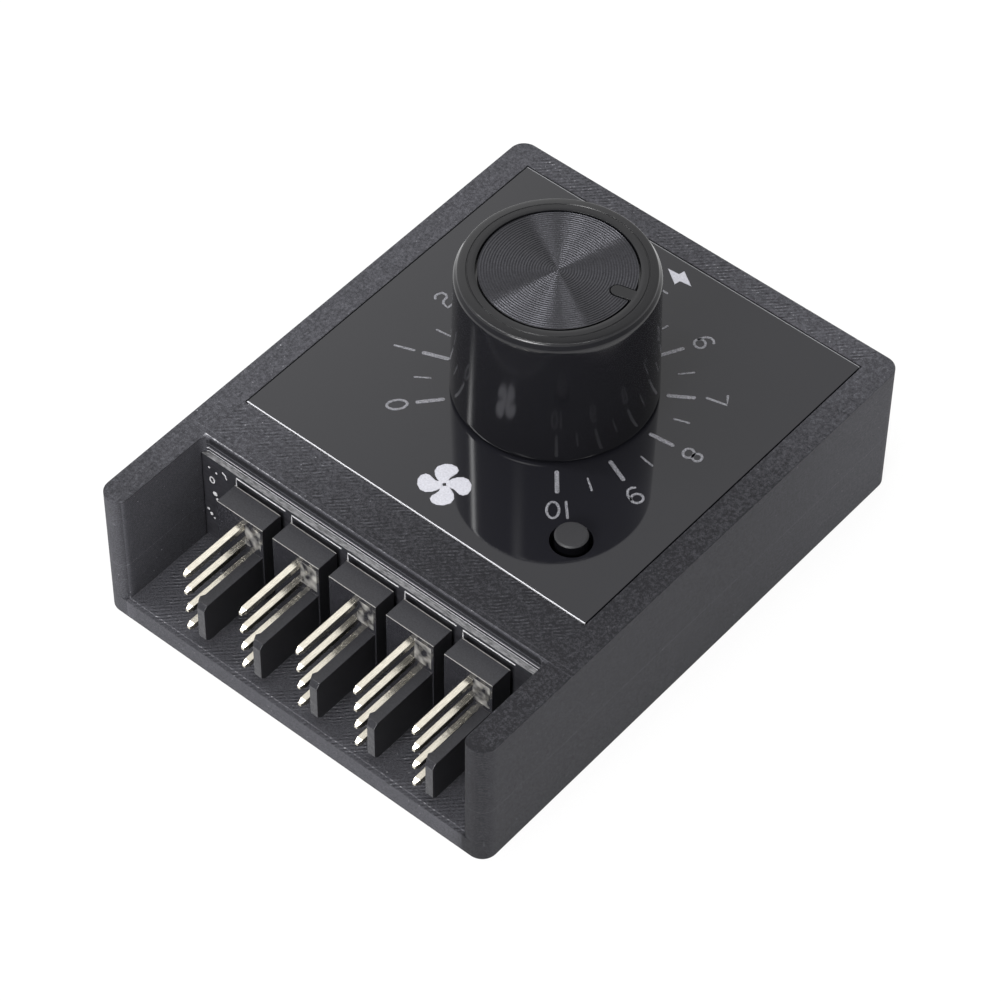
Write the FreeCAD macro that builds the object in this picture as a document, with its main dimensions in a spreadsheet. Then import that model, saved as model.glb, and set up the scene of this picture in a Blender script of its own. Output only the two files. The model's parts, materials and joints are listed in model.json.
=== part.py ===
"""Small fan controller hub: a printed case with a knob on its face and five fan headers in its front.

The case lies flat: X runs along the front, Y to the rear and Z up, with the origin at the centre of
the underside. Sizes are millimetres.
"""
import FreeCAD, Part
import os
import re
import Sketcher
from FreeCAD import Vector

HEADERS = 5
PINS = 4
RIBS = 6

# Driving sizes: each one is a cell of the sheet
SIZES = {
    # case outline and walls
    "panel_size": 41.0,
    "side_margin": 3.0,
    "rear_margin": 2.7,
    "front_strip": 5.55,
    "recess_depth": 11.75,
    "side_wall": 2.8,
    "rear_wall": 2.8,
    "top_thickness": 1.9,
    "corner_radius": 1.6,
    "wall_end_radius": 0.9,
    "recess_corner_radius": 1.0,
    "edge_step": 0.13,
    "edge_step_height": 1.1,
    # height of the stack inside
    "tray_thickness": 2.25,
    "floor_thickness": 1.0,
    "lead_room": 1.0,
    "board_thickness": 1.0,
    "jack_height": 11.0,
    "jack_headroom": 0.1,
    # face panel and the ledge that it lies on
    "panel_thickness": 1.6,
    "panel_gap": 0.15,
    "ledge_width": 2.0,
    "ledge_thickness": 1.3,
    "ledge_cover": 1.2,
    # screws and their bosses
    "boss_radius": 2.7,
    "boss_inset": 2.0,
    "screw_radius": 1.0,
    "screw_length": 8.0,
    "screw_head_radius": 1.9,
    "screw_head_height": 1.1,
    "screw_slack": 0.03,
    "screw_recess": 0.15,
    # upright board that carries the fan headers
    "header_board_thickness": 1.6,
    "board_lead": 0.6,
    "board_roof_gap": 0.2,
    "board_slack": 0.1,
    "groove_depth": 0.8,
    # fan headers
    "header_lift": 0.85,
    "header_depth": 3.05,
    "header_standoff": 0.55,
    "foot_inset": 0.8,
    "header_left": 3.1,
    "header_right": 2.6,
    "pin_pitch": 2.54,
    "pin_width": 0.64,
    "pin_setback": 0.3,
    "pin_tail": 1.25,
    "pin_point": 0.55,
    "tab_thickness": 1.1,
    "tab_height": 5.0,
    "tab_raise": 1.15,
    "tab_inset": 0.15,
    "tab_lead": 0.2,
    "tab_bevel": 0.45,
    # lower board
    "board_clearance": 0.4,
    "notch_clearance": 0.3,
    "pad_half": 1.6,
    "peg_radius": 0.95,
    "peg_slack": 0.1,
    "peg_height": 0.5,
    "lead_length": 0.7,
    # potentiometer
    "pot_width": 9.6,
    "pot_length": 10.6,
    "pot_height": 6.0,
    "pot_wall": 0.7,
    "bracket_thickness": 0.5,
    "bracket_leg_width": 2.6,
    "bush_radius": 3.5,
    "bush_height": 4.0,
    "shaft_radius": 3.0,
    "shaft_flat": 1.5,
    "running_gap": 0.05,
    "nut_flats": 10.0,
    "nut_height": 1.8,
    "washer_radius": 5.4,
    "washer_thickness": 0.4,
    "terminal_pitch": 2.5,
    "terminal_width": 0.9,
    "terminal_thickness": 0.35,
    # knob
    "knob_radius": 9.6,
    "knob_height": 15.35,
    "knob_clearance": 0.25,
    "knob_draft": 0.35,
    "knob_wall": 1.7,
    "knob_roof": 2.3,
    "knob_bevel_out": 0.4,
    "knob_bevel_down": 0.6,
    "knob_boss_radius": 4.7,
    "knob_boss_gap": 0.6,
    "rib_thickness": 0.9,
    "rib_drop": 1.6,
    "bore_slack": 0.03,
    "disc_radius": 7.4,
    "disc_thickness": 0.8,
    "disc_sink": 0.05,
    "disc_gap": 0.2,
    "pointer_angle": 15.0,
    "pointer_width": 1.5,
    "pointer_inner": 5.2,
    "pointer_gap": 0.12,
    # push button
    "button_radius": 1.6,
    "button_proud": 0.9,
    "button_hole_radius": 2.05,
    "switch_size": 6.0,
    "switch_height": 3.5,
    "switch_roof": 0.4,
    "switch_base": 0.8,
    "collar_radius": 2.2,
    "collar_height": 0.7,
    "travel": 0.25,
    "dome_thickness": 0.12,
    # power socket
    "jack_width": 9.0,
    "jack_length": 14.4,
    "jack_flange": 3.4,
    "jack_axis_height": 6.5,
    "jack_barrel_radius": 4.1,
    "socket_radius": 3.15,
    "socket_depth": 9.6,
    "centre_pin_radius": 1.05,
    "centre_pin_setback": 0.9,
    "jack_slack": 0.15,
    # small electronic parts
    "capacitor_radius": 4.0,
    "capacitor_height": 9.4,
    "chip_length": 5.0,
    "chip_width": 3.9,
    "chip_height": 1.5,
}

# Places and sizes that follow from the driving sizes
PLACES = {
    "header_pitch": "panel_size*0.1695",
    "row_shift": "panel_size*0.0239",
    "button_x": "panel_size*0.327",
    "half_width": "panel_size/2 + side_margin",
    "case_depth": "recess_depth + front_strip + panel_size + rear_margin",
    "front_y": "-case_depth/2",
    "rear_y": "case_depth/2",
    "recess_y": "front_y + recess_depth",
    "panel_front": "recess_y + front_strip",
    "panel_rear": "panel_front + panel_size",
    "panel_y": "panel_front + panel_size/2",
    "inner_x": "half_width - side_wall",
    "inner_rear": "rear_y - rear_wall",
    "board_under": "floor_thickness + lead_room",
    "board_top": "board_under + board_thickness",
    "roof_under": "board_top + jack_height + jack_headroom",
    "case_height": "roof_under + top_thickness",
    "panel_under": "case_height - panel_thickness",
    "ledge_under": "panel_under - ledge_thickness",
    "header_board_front": "recess_y - board_lead",
    "header_board_back": "header_board_front + header_board_thickness",
    "header_board_under": "tray_thickness + board_slack/2",
    "header_board_top": "roof_under - board_roof_gap",
    "header_under": "tray_thickness + header_lift",
    "block_front": "header_board_front - header_depth",
    "block_rear": "header_board_front - header_standoff",
    "pin_tip": "front_y + pin_setback",
    "tab_tip": "pin_tip - tab_lead",
    "tab_right": "header_right - tab_inset",
    "boss_x": "inner_x - boss_inset",
    "front_boss_y": "header_board_back + notch_clearance + boss_radius",
    "rear_boss_y": "inner_rear - boss_inset",
    "board_x": "inner_x - board_clearance",
    "board_front": "header_board_back + 1.5*board_slack",
    "board_rear": "inner_rear - board_clearance/2 - board_slack",
    "notch_x": "boss_x - boss_radius - notch_clearance",
    "notch_front": "front_boss_y + boss_radius + notch_clearance",
    "notch_rear": "rear_boss_y - boss_radius - notch_clearance",
    "lead_end": "board_under - lead_length",
    "peg_x": "board_x - pad_half - 0.5*board_clearance",
    "front_peg_y": "panel_y - panel_size*0.2",
    "rear_peg_y": "panel_y + panel_size*0.24",
    "pot_under": "panel_under - bracket_thickness - pot_height",
    "bracket_under": "panel_under - bracket_thickness",
    "leg_x": "pot_width/2 + bracket_thickness/2",
    "bush_top": "panel_under + bush_height",
    "knob_under": "case_height + knob_clearance",
    "knob_top": "knob_under + knob_height",
    "knob_boss_under": "bush_top + knob_boss_gap",
    "knob_roof_under": "knob_top - knob_roof",
    "disc_under": "knob_top - disc_sink - disc_thickness",
    "shaft_top": "knob_roof_under - 4*disc_gap",
    "button_y": "panel_front + panel_size*0.1635",
    "button_top": "case_height + button_proud",
    "switch_top": "board_top + switch_height",
    "collar_top": "switch_top - switch_roof - travel/2",
    "dome_top": "collar_top - collar_height - dome_thickness/2",
    "jack_z": "board_top + jack_axis_height",
    "jack_rear": "rear_y - jack_length",
    "socket_end": "rear_y - socket_depth",
    "strap_width": "jack_width*0.28",
    "capacitor_x": "-panel_size*0.3",
    "capacitor_y": "panel_y + panel_size*0.26",
}


def formula(text):
    """Writes places out in full and points every size at the sheet."""
    def word(match):
        name = match.group(0)
        if name in PLACES:
            return "(" + formula(PLACES[name]) + ")"
        if name in SIZES:
            return "Sizes." + name
        return name
    return re.sub(r"[a-z_][a-z_0-9]*", word, text)


def make_sheet():
    sheet = doc.addObject("Spreadsheet::Sheet", "Sizes")
    for row, (name, number) in enumerate(SIZES.items(), start=1):
        sheet.set(f"A{row}", name)
        sheet.set(f"B{row}", str(number))
        sheet.setAlias(f"B{row}", name)
    doc.recompute()
    return sheet


def value(text):
    """The number that a formula gives at present."""
    return float(sheet.evalExpression(formula(text)))


def bind(thing, **formulas):
    """Binds properties to formulas; x, y and z stand for the placement."""
    names = {"x": "Placement.Base.x", "y": "Placement.Base.y", "z": "Placement.Base.z"}
    for name, text in formulas.items():
        thing.setExpression(names.get(name, name), formula(text))
    return thing


# Sketches and features of a body

def new_body(label):
    body = doc.addObject("PartDesign::Body", label)
    body.Label = label
    return body


def new_sketch(body, name, plane="XY_Plane", level="0"):
    sketch = body.newObject("Sketcher::SketchObject", name)
    origin_plane = [part for part in body.Origin.OriginFeatures if part.Role == plane][0]
    sketch.AttachmentSupport = [(origin_plane, "")]
    sketch.MapMode = "FlatFace"
    sketch.setExpression("AttachmentOffset.Base.z", formula(level))
    return sketch


def hold(sketch, edge, point, across, up):
    """Holds one point of a sketch at a place given by two formulas."""
    for kind, text in (("DistanceX", across), ("DistanceY", up)):
        number = sketch.addConstraint(Sketcher.Constraint(kind, -1, 1, edge, point, value(text)))
        sketch.setExpression(f"Constraints[{number}]", formula(text))


def draw(sketch, corners):
    """Draws a closed outline of straight lines through corners given as formulas."""
    first = sketch.GeometryCount
    spots = [Vector(value(across), value(up), 0) for across, up in corners]
    for number, spot in enumerate(spots):
        sketch.addGeometry(Part.LineSegment(spot, spots[(number + 1) % len(spots)]), False)
    for number, (across, up) in enumerate(corners):
        edge = first + number
        following = first + (number + 1) % len(corners)
        sketch.addConstraint(Sketcher.Constraint("Coincident", edge, 2, following, 1))
        hold(sketch, edge, 1, across, up)


def draw_box(sketch, left, right, low, high):
    draw(sketch, [(left, low), (right, low), (right, high), (left, high)])


def draw_square(sketch, across, up, side):
    draw_box(sketch, f"{across} - ({side})/2", f"{across} + ({side})/2",
             f"{up} - ({side})/2", f"{up} + ({side})/2")


def draw_circle(sketch, across, up, radius):
    spot = Vector(value(across), value(up), 0)
    edge = sketch.addGeometry(Part.Circle(spot, Vector(0, 0, 1), value(radius)), False)
    hold(sketch, edge, 3, across, up)
    number = sketch.addConstraint(Sketcher.Constraint("Radius", edge, value(radius)))
    sketch.setExpression(f"Constraints[{number}]", formula(radius))


def feature(body, kind, name, sketch, length=None, reverse=False):
    """Adds a pad or pocket of a given length, or a pocket through all with no length."""
    made = body.newObject("PartDesign::" + kind, name)
    made.Profile = sketch
    made.Reversed = reverse
    if length is None:
        made.Type = "ThroughAll"
    else:
        made.setExpression("Length", formula(length))
    doc.recompute()
    body.Tip = made
    return made


def revolve(body, name, sketch):
    made = body.newObject("PartDesign::Revolution", name)
    made.Profile = sketch
    made.ReferenceAxis = (sketch, ["V_Axis"])
    made.Angle = 360
    doc.recompute()
    body.Tip = made
    return made


def edges_where(made, test):
    """Names the edges of a feature whose two end points pass a test."""
    names = []
    for number, edge in enumerate(made.Shape.Edges, start=1):
        ends = [vertex.Point for vertex in edge.Vertexes]
        if len(ends) == 2 and test(ends[0], ends[1]):
            names.append(f"Edge{number}")
    return names


def upright(a, b):
    return abs(a.x - b.x) < 1e-6 and abs(a.y - b.y) < 1e-6


def soften(body, kind, name, made, names, size):
    """Rounds or bevels named edges."""
    softened = body.newObject("PartDesign::" + kind, name)
    softened.Base = (made, names)
    softened.setExpression("Radius" if kind == "Fillet" else "Size", formula(size))
    doc.recompute()
    body.Tip = softened
    return softened


# Loose solids and how they are joined

def block(name, left, right, low_y, high_y, under, top):
    box = doc.addObject("Part::Box", name)
    return bind(box, Length=f"({right})-({left})", Width=f"({high_y})-({low_y})",
                Height=f"({top})-({under})", x=left, y=low_y, z=under)


def rod(name, across, along, under, top, radius):
    cylinder = doc.addObject("Part::Cylinder", name)
    return bind(cylinder, Radius=radius, Height=f"({top})-({under})", x=across, y=along, z=under)


def lying_rod(name, across, level, front, rear, radius):
    """A cylinder along Y from its front end to its rear end."""
    cylinder = doc.addObject("Part::Cylinder", name)
    cylinder.Placement.Rotation = FreeCAD.Rotation(Vector(1, 0, 0), -90)
    return bind(cylinder, Radius=radius, Height=f"({rear})-({front})", x=across, y=front, z=level)


def join(label, pieces, kind="Part::MultiFuse"):
    joined = doc.addObject(kind, label)
    if kind == "Part::Compound":
        joined.Links = pieces
    else:
        joined.Shapes = pieces
    joined.Label = label
    return joined


def cut(label, base, tool):
    made = doc.addObject("Part::Cut", label)
    made.Base = base
    made.Tool = tool
    made.Label = label
    return made


# Case

def case_shell():
    """Printed case, open below and at the front, with a rebated window for the face panel."""
    body = new_body("case_shell")
    sketch = new_sketch(body, "shell_outline", level="tray_thickness")
    draw_box(sketch, "-half_width", "half_width", "front_y", "rear_y")
    outer = feature(body, "Pad", "shell_block", sketch, "case_height - tray_thickness")
    outer = soften(body, "Fillet", "shell_corners", outer, edges_where(outer, upright), "corner_radius")

    sketch = new_sketch(body, "hollow_outline", level="tray_thickness")
    draw_box(sketch, "-inner_x", "inner_x", "front_y - side_wall", "inner_rear")
    feature(body, "Pocket", "hollow", sketch, "roof_under - tray_thickness", reverse=True)
    sketch = new_sketch(body, "recess_outline", level="tray_thickness")
    draw_box(sketch, "-inner_x", "inner_x", "front_y - side_wall", "recess_y")
    recess = feature(body, "Pocket", "front_recess", sketch, "case_height", reverse=True)
    ends = edges_where(recess, lambda a, b: upright(a, b) and abs(abs(a.x) - value("inner_x")) < 1e-6
                       and abs(a.y - value("front_y")) < 1e-6)
    rounded = soften(body, "Fillet", "wall_ends", recess, ends, "wall_end_radius")
    corners = edges_where(rounded, lambda a, b: upright(a, b) and abs(abs(a.x) - value("inner_x")) < 1e-6
                          and abs(a.y - value("recess_y")) < 1e-6)
    soften(body, "Fillet", "recess_corners", rounded, corners, "recess_corner_radius")
    sketch = new_sketch(body, "edge_step_outline", level="roof_under")
    draw_box(sketch, "-inner_x - edge_step", "inner_x + edge_step", "recess_y - edge_step",
             "recess_y + recess_corner_radius")
    feature(body, "Pad", "stepped_edge", sketch, "edge_step_height")

    sketch = new_sketch(body, "ledge_outline", level="ledge_under")
    draw_box(sketch, "-inner_x - ledge_cover/2", "inner_x + ledge_cover/2",
             "panel_front - ledge_cover", "panel_rear + ledge_cover")
    feature(body, "Pad", "ledge", sketch, "panel_under - ledge_under")
    sketch = new_sketch(body, "window_outline", level="ledge_under")
    draw_box(sketch, "-panel_size/2 + ledge_width", "panel_size/2 - ledge_width",
             "panel_front + ledge_width", "panel_rear - ledge_width")
    feature(body, "Pocket", "window", sketch, "case_height", reverse=True)
    sketch = new_sketch(body, "rebate_outline", level="panel_under")
    draw_box(sketch, "-panel_size/2 - panel_gap", "panel_size/2 + panel_gap",
             "panel_front - panel_gap", "panel_rear + panel_gap")
    feature(body, "Pocket", "rebate", sketch, "case_height", reverse=True)

    sketch = new_sketch(body, "boss_outlines", level="tray_thickness")
    for across in ("-boss_x", "boss_x"):
        for along in ("front_boss_y", "rear_boss_y"):
            draw_circle(sketch, across, along, "boss_radius")
    feature(body, "Pad", "screw_bosses", sketch, "ledge_under + ledge_thickness/2 - tray_thickness")
    sketch = new_sketch(body, "pilot_outlines", level="tray_thickness")
    for across in ("-boss_x", "boss_x"):
        for along in ("front_boss_y", "rear_boss_y"):
            draw_circle(sketch, across, along, "screw_radius + screw_slack")
    feature(body, "Pocket", "pilot_holes", sketch, "screw_length", reverse=True)

    sketch = new_sketch(body, "groove_outlines", level="tray_thickness")
    for side in ("-", ""):
        draw_box(sketch, f"{side}(inner_x - groove_depth)", f"{side}(inner_x + groove_depth)",
                 "header_board_front - board_slack", "header_board_back + board_slack")
    feature(body, "Pocket", "board_grooves", sketch, "header_board_top + board_slack - tray_thickness",
            reverse=True)
    sketch = new_sketch(body, "jack_notch_outline", level="tray_thickness")
    draw_box(sketch, "-jack_width/2 - jack_slack", "jack_width/2 + jack_slack",
             "panel_rear - ledge_width - jack_slack", "rear_y + rear_wall")
    feature(body, "Pocket", "jack_notch", sketch, "roof_under - tray_thickness", reverse=True)
    return body


def bottom_cover():
    """Cover with a thick front tray, a sunken floor under the lower board and pegs that hold it."""
    body = new_body("bottom_cover")
    sketch = new_sketch(body, "cover_outline")
    draw_box(sketch, "-half_width", "half_width", "front_y", "rear_y")
    plate = feature(body, "Pad", "cover_plate", sketch, "tray_thickness")
    soften(body, "Fillet", "cover_corners", plate, edges_where(plate, upright), "corner_radius")
    sketch = new_sketch(body, "wide_floor_outline", level="floor_thickness")
    draw_box(sketch, "-board_x - 2*board_slack", "board_x + 2*board_slack",
             "notch_front - 2*board_slack", "notch_rear + 2*board_slack")
    feature(body, "Pocket", "wide_floor", sketch, "tray_thickness", reverse=True)
    sketch = new_sketch(body, "long_floor_outline", level="floor_thickness")
    draw_box(sketch, "-notch_x - 2*board_slack", "notch_x + 2*board_slack",
             "header_board_back + board_slack/2", "board_rear + 2*board_slack")
    feature(body, "Pocket", "long_floor", sketch, "tray_thickness", reverse=True)
    sketch = new_sketch(body, "pad_outlines", level="floor_thickness")
    for across in ("-peg_x", "peg_x"):
        for along in ("front_peg_y", "rear_peg_y"):
            draw_square(sketch, across, along, "2*pad_half")
    feature(body, "Pad", "board_pads", sketch, "lead_room")
    sketch = new_sketch(body, "peg_outlines", level="floor_thickness")
    for across, along in PEGS:
        draw_circle(sketch, across, along, "peg_radius")
    feature(body, "Pad", "board_pegs", sketch, "lead_room + board_thickness + peg_height")
    sketch = new_sketch(body, "sill_outline", level="tray_thickness - board_slack")
    draw_box(sketch, "-jack_width/2", "jack_width/2", "board_rear + 2*board_slack + jack_slack", "rear_y")
    feature(body, "Pad", "jack_sill", sketch, "board_top - tray_thickness + board_slack/2")
    for name, radius, depth in (("screw_holes", "screw_radius + 3*screw_slack", None),
                                ("screw_seats", "screw_head_radius + 2*screw_slack",
                                 "screw_head_height + screw_recess")):
        sketch = new_sketch(body, name + "_outlines")
        for across in ("-boss_x", "boss_x"):
            for along in ("front_boss_y", "rear_boss_y"):
                draw_circle(sketch, across, along, radius)
        feature(body, "Pocket", name, sketch, depth, reverse=True)
    return body


def cover_screws():
    """Four screws with low cylindrical heads and a hexagon socket, driven up into the bosses."""
    screws = []
    spots = [(across, along) for across in ("-boss_x", "boss_x") for along in ("front_boss_y", "rear_boss_y")]
    for number, (across, along) in enumerate(spots, start=1):
        head = rod(f"screw_head_{number}", across, along, "screw_recess",
                   "screw_recess + screw_head_height", "screw_head_radius")
        shank = rod(f"screw_shank_{number}", across, along, "screw_recess + screw_head_height",
                    "screw_recess + screw_head_height + screw_length", "screw_radius")
        socket = doc.addObject("Part::Prism", f"screw_socket_{number}")
        socket.Polygon = 6
        bind(socket, Circumradius="screw_radius*0.8", Height="screw_head_height*0.6",
             x=across, y=along, z="screw_recess")
        screws.append(cut(f"screw_{number}", join(f"screw_blank_{number}", [head, shank]), socket))
    return join("cover_screws", screws, "Part::Compound")


def face_panel():
    """Square face panel with a hole for the threaded bush and one for the push button."""
    body = new_body("face_panel")
    sketch = new_sketch(body, "panel_outline", level="panel_under")
    draw_box(sketch, "-panel_size/2", "panel_size/2", "panel_front", "panel_rear")
    draw_circle(sketch, "0", "panel_y", "bush_radius + 2*running_gap")
    draw_circle(sketch, "button_x", "button_y", "button_hole_radius")
    feature(body, "Pad", "panel_plate", sketch, "panel_thickness")
    return body


# Knob

def knob_body():
    """Hollow moulded knob with a ribbed boss for a flatted shaft, and a seat and a tongue for its disc."""
    body = new_body("knob_body")
    body.setExpression("Placement.Base.y", formula("panel_y"))
    sketch = new_sketch(body, "knob_section", plane="XZ_Plane")
    draw(sketch, [
        ("0", "knob_boss_under"),
        ("knob_boss_radius", "knob_boss_under"),
        ("knob_boss_radius", "knob_roof_under"),
        ("knob_radius - knob_wall", "knob_roof_under"),
        ("knob_radius - knob_wall", "knob_under"),
        ("knob_radius + knob_draft - knob_bevel_out/2", "knob_under"),
        ("knob_radius + knob_draft", "knob_under + knob_bevel_out/2"),
        ("knob_radius", "knob_top - knob_bevel_down - knob_bevel_out"),
        ("knob_radius - 0.2*knob_bevel_out", "knob_top - knob_bevel_down"),
        ("knob_radius - knob_bevel_out", "knob_top"),
        ("disc_radius + disc_gap", "knob_top"),
        ("disc_radius + disc_gap", "disc_under"),
        ("0", "disc_under"),
    ])
    revolve(body, "knob_form", sketch)
    sketch = new_sketch(body, "rib_outline", level="knob_boss_under + rib_drop")
    draw_box(sketch, "knob_boss_radius - rib_thickness/2", "knob_radius - knob_wall/2",
             "-rib_thickness/2", "rib_thickness/2")
    rib = feature(body, "Pad", "rib", sketch, "knob_roof_under - knob_boss_under - rib_drop")
    ribs = body.newObject("PartDesign::PolarPattern", "ribs")
    ribs.Originals = [rib]
    ribs.Axis = (sketch, ["N_Axis"])
    ribs.Angle = 360
    ribs.Occurrences = RIBS
    body.Tip = ribs
    doc.recompute()
    sketch = new_sketch(body, "bore_outline", level="knob_boss_under")
    flat_section(sketch, "shaft_radius + bore_slack", "shaft_flat + bore_slack")
    feature(body, "Pocket", "flatted_bore", sketch, "shaft_top + disc_gap - knob_boss_under", reverse=True)
    sketch = new_sketch(body, "tongue_outline", level="disc_under")
    inner = "pointer_inner + pointer_width/2"
    outer = "disc_radius + 2*disc_gap"
    half = "(pointer_width/2 - pointer_gap)"
    draw(sketch, [turned(inner, f"-{half}"), turned(outer, f"-{half}"), turned(outer, half), turned(inner, half)])
    feature(body, "Pad", "tongue", sketch, "disc_thickness + disc_sink")
    sketch = new_sketch(body, "tongue_end_outline", level="disc_under")
    draw_circle(sketch, *turned(inner, "0"), half)
    feature(body, "Pad", "tongue_end", sketch, "disc_thickness + disc_sink")
    return body


def turned(along, across):
    """A point at a distance along and across the pointer, seen from the knob's axis."""
    return (f"({along})*cos(pointer_angle) - ({across})*sin(pointer_angle)",
            f"({along})*sin(pointer_angle) + ({across})*cos(pointer_angle)")


def flat_section(sketch, radius, flat):
    """A circle cut off by one straight side on the +X side."""
    round_size = value(radius)
    flat_place = value(flat)
    half = (round_size**2 - flat_place**2)**0.5
    low = Vector(flat_place, -half, 0)
    high = Vector(flat_place, half, 0)
    arc = Part.Arc(high, Vector(-round_size, 0, 0), low)
    curve = sketch.addGeometry(arc, False)
    line = sketch.addGeometry(Part.LineSegment(low, high), False)
    # the arc runs anticlockwise, so its start is the upper end of the flat
    sketch.addConstraint(Sketcher.Constraint("Coincident", curve, 2, line, 1))
    sketch.addConstraint(Sketcher.Constraint("Coincident", line, 2, curve, 1))
    sketch.addConstraint(Sketcher.Constraint("Coincident", curve, 3, -1, 1))
    sketch.addConstraint(Sketcher.Constraint("Vertical", line))
    number = sketch.addConstraint(Sketcher.Constraint("Radius", curve, round_size))
    sketch.setExpression(f"Constraints[{number}]", formula(radius))
    number = sketch.addConstraint(Sketcher.Constraint("DistanceX", -1, 1, line, 1, flat_place))
    sketch.setExpression(f"Constraints[{number}]", formula(flat))


def knob_disc():
    """Turned disc with an open slot in its edge, round the knob's tongue, as the pointer."""
    disc = rod("disc_blank", "0", "panel_y", "disc_under", "disc_under + disc_thickness", "disc_radius")
    round_end = rod("pointer_end", "0", "0", "disc_under - disc_gap", "knob_top", "pointer_width/2")
    slot = block("pointer_slot", "0", "disc_radius", "-pointer_width/2", "pointer_width/2",
                 "disc_under - disc_gap", "knob_top")
    notch = join("pointer_notch", [round_end, slot])
    notch.setExpression("Placement.Rotation.Angle", formula("pointer_angle"))
    bind(notch, x="(pointer_inner + pointer_width/2)*cos(pointer_angle)",
         y="panel_y + (pointer_inner + pointer_width/2)*sin(pointer_angle)")
    return cut("knob_disc", disc, notch)


# Potentiometer

def pot_body():
    body = new_body("pot_body")
    sketch = new_sketch(body, "pot_outline", level="pot_under")
    draw_box(sketch, "-pot_width/2", "pot_width/2", "panel_y - pot_length/2", "panel_y + pot_length/2")
    case = feature(body, "Pad", "pot_block", sketch, "pot_height")
    soften(body, "Fillet", "pot_corners", case, edges_where(case, upright), "pot_wall")
    sketch = new_sketch(body, "pot_hollow_outline", level="pot_under + pot_wall")
    draw_circle(sketch, "0", "panel_y", "pot_width/2 - pot_wall")
    feature(body, "Pocket", "pot_hollow", sketch, "pot_height", reverse=True)
    return body


def pot_wafer():
    """Disc that carries the resistive track, on the bottom of the pot's hollow."""
    return named(rod("pot_wafer", "0", "panel_y", "pot_under + pot_wall",
                     "pot_under + pot_wall + bracket_thickness", "pot_width/2 - pot_wall - running_gap"))


def named(thing):
    thing.Label = thing.Name
    return thing


def pot_bracket():
    """Folded steel bracket over the pot, with two legs that snap into the lower board."""
    body = new_body("pot_bracket")
    sketch = new_sketch(body, "bracket_outline", level="bracket_under")
    draw_box(sketch, "-pot_width/2 - bracket_thickness", "pot_width/2 + bracket_thickness",
             "panel_y - pot_length/2", "panel_y + pot_length/2")
    draw_circle(sketch, "0", "panel_y", "shaft_radius + 2*running_gap")
    feature(body, "Pad", "bracket_plate", sketch, "bracket_thickness")
    sketch = new_sketch(body, "leg_outlines", level="bracket_under + bracket_thickness")
    for side in ("-", ""):
        draw_box(sketch, f"{side}(pot_width/2)", f"{side}(pot_width/2 + bracket_thickness)",
                 "panel_y - bracket_leg_width/2", "panel_y + bracket_leg_width/2")
    feature(body, "Pad", "bracket_legs", sketch, "bracket_under + bracket_thickness - lead_end",
            reverse=True)
    return body


def pot_bushing():
    tube = rod("bush_outside", "0", "panel_y", "panel_under", "bush_top", "bush_radius")
    bore = rod("bush_bore", "0", "panel_y", "panel_under - 1", "bush_top + 1", "shaft_radius + running_gap")
    return cut("pot_bushing", tube, bore)


def pot_shaft():
    """Flatted shaft with the rotor that turns in the pot."""
    body = new_body("pot_shaft")
    body.setExpression("Placement.Base.y", formula("panel_y"))
    sketch = new_sketch(body, "shaft_section", plane="XZ_Plane")
    draw(sketch, [
        ("0", "pot_under + 3*pot_wall"),
        ("pot_width/2 - 2*pot_wall", "pot_under + 3*pot_wall"),
        ("pot_width/2 - 2*pot_wall", "pot_under + 5*pot_wall"),
        ("shaft_radius", "pot_under + 5*pot_wall"),
        ("shaft_radius", "shaft_top - running_gap*6"),
        ("shaft_radius - running_gap*6", "shaft_top"),
        ("0", "shaft_top"),
    ])
    revolve(body, "shaft_form", sketch)
    sketch = new_sketch(body, "flat_outline", level="knob_boss_under")
    draw_box(sketch, "shaft_flat", "2*shaft_radius", "-shaft_radius", "shaft_radius")
    feature(body, "Pocket", "shaft_flat_face", sketch, "knob_top", reverse=True)
    return body


def pot_wiper():
    """Spring contact under the rotor that sweeps the track."""
    level = "pot_under + pot_wall + bracket_thickness + running_gap"
    root = "pot_under + 3*pot_wall"
    arm = block("wiper_arm", "pot_wall", "pot_width/2 - 3*pot_wall", "panel_y - pot_wall",
                "panel_y + pot_wall", f"{root} - 0.2*pot_wall", root)
    foot = block("wiper_foot", "pot_width/2 - 3.4*pot_wall", "pot_width/2 - 3*pot_wall",
                 "panel_y - pot_wall", "panel_y + pot_wall", level, root)
    return join("pot_wiper", [arm, foot])


def pot_terminals():
    """Three bent terminals from the front of the pot down through the lower board."""
    pieces = []
    for number in range(3):
        middle = f"{number - 1}*terminal_pitch"
        left = f"{middle} - terminal_width/2"
        right = f"{middle} + terminal_width/2"
        front = "panel_y - pot_length/2 - 2*terminal_thickness"
        level = "pot_under + pot_wall"
        out = block(f"terminal_out_{number}", left, right, front, "panel_y - pot_length/2",
                    f"{level} - terminal_thickness", level)
        down = block(f"terminal_down_{number}", left, right, front, f"{front} + terminal_thickness",
                     "lead_end", level)
        pieces.append(join(f"terminal_{number}", [out, down]))
    return join("pot_terminals", pieces, "Part::Compound")


def pot_washer():
    ring = rod("washer_outside", "0", "panel_y", "case_height", "case_height + washer_thickness",
               "washer_radius")
    hole = rod("washer_hole", "0", "panel_y", "case_height - 1", "case_height + 1 + washer_thickness",
               "bush_radius + running_gap")
    return cut("pot_washer", ring, hole)


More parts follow.
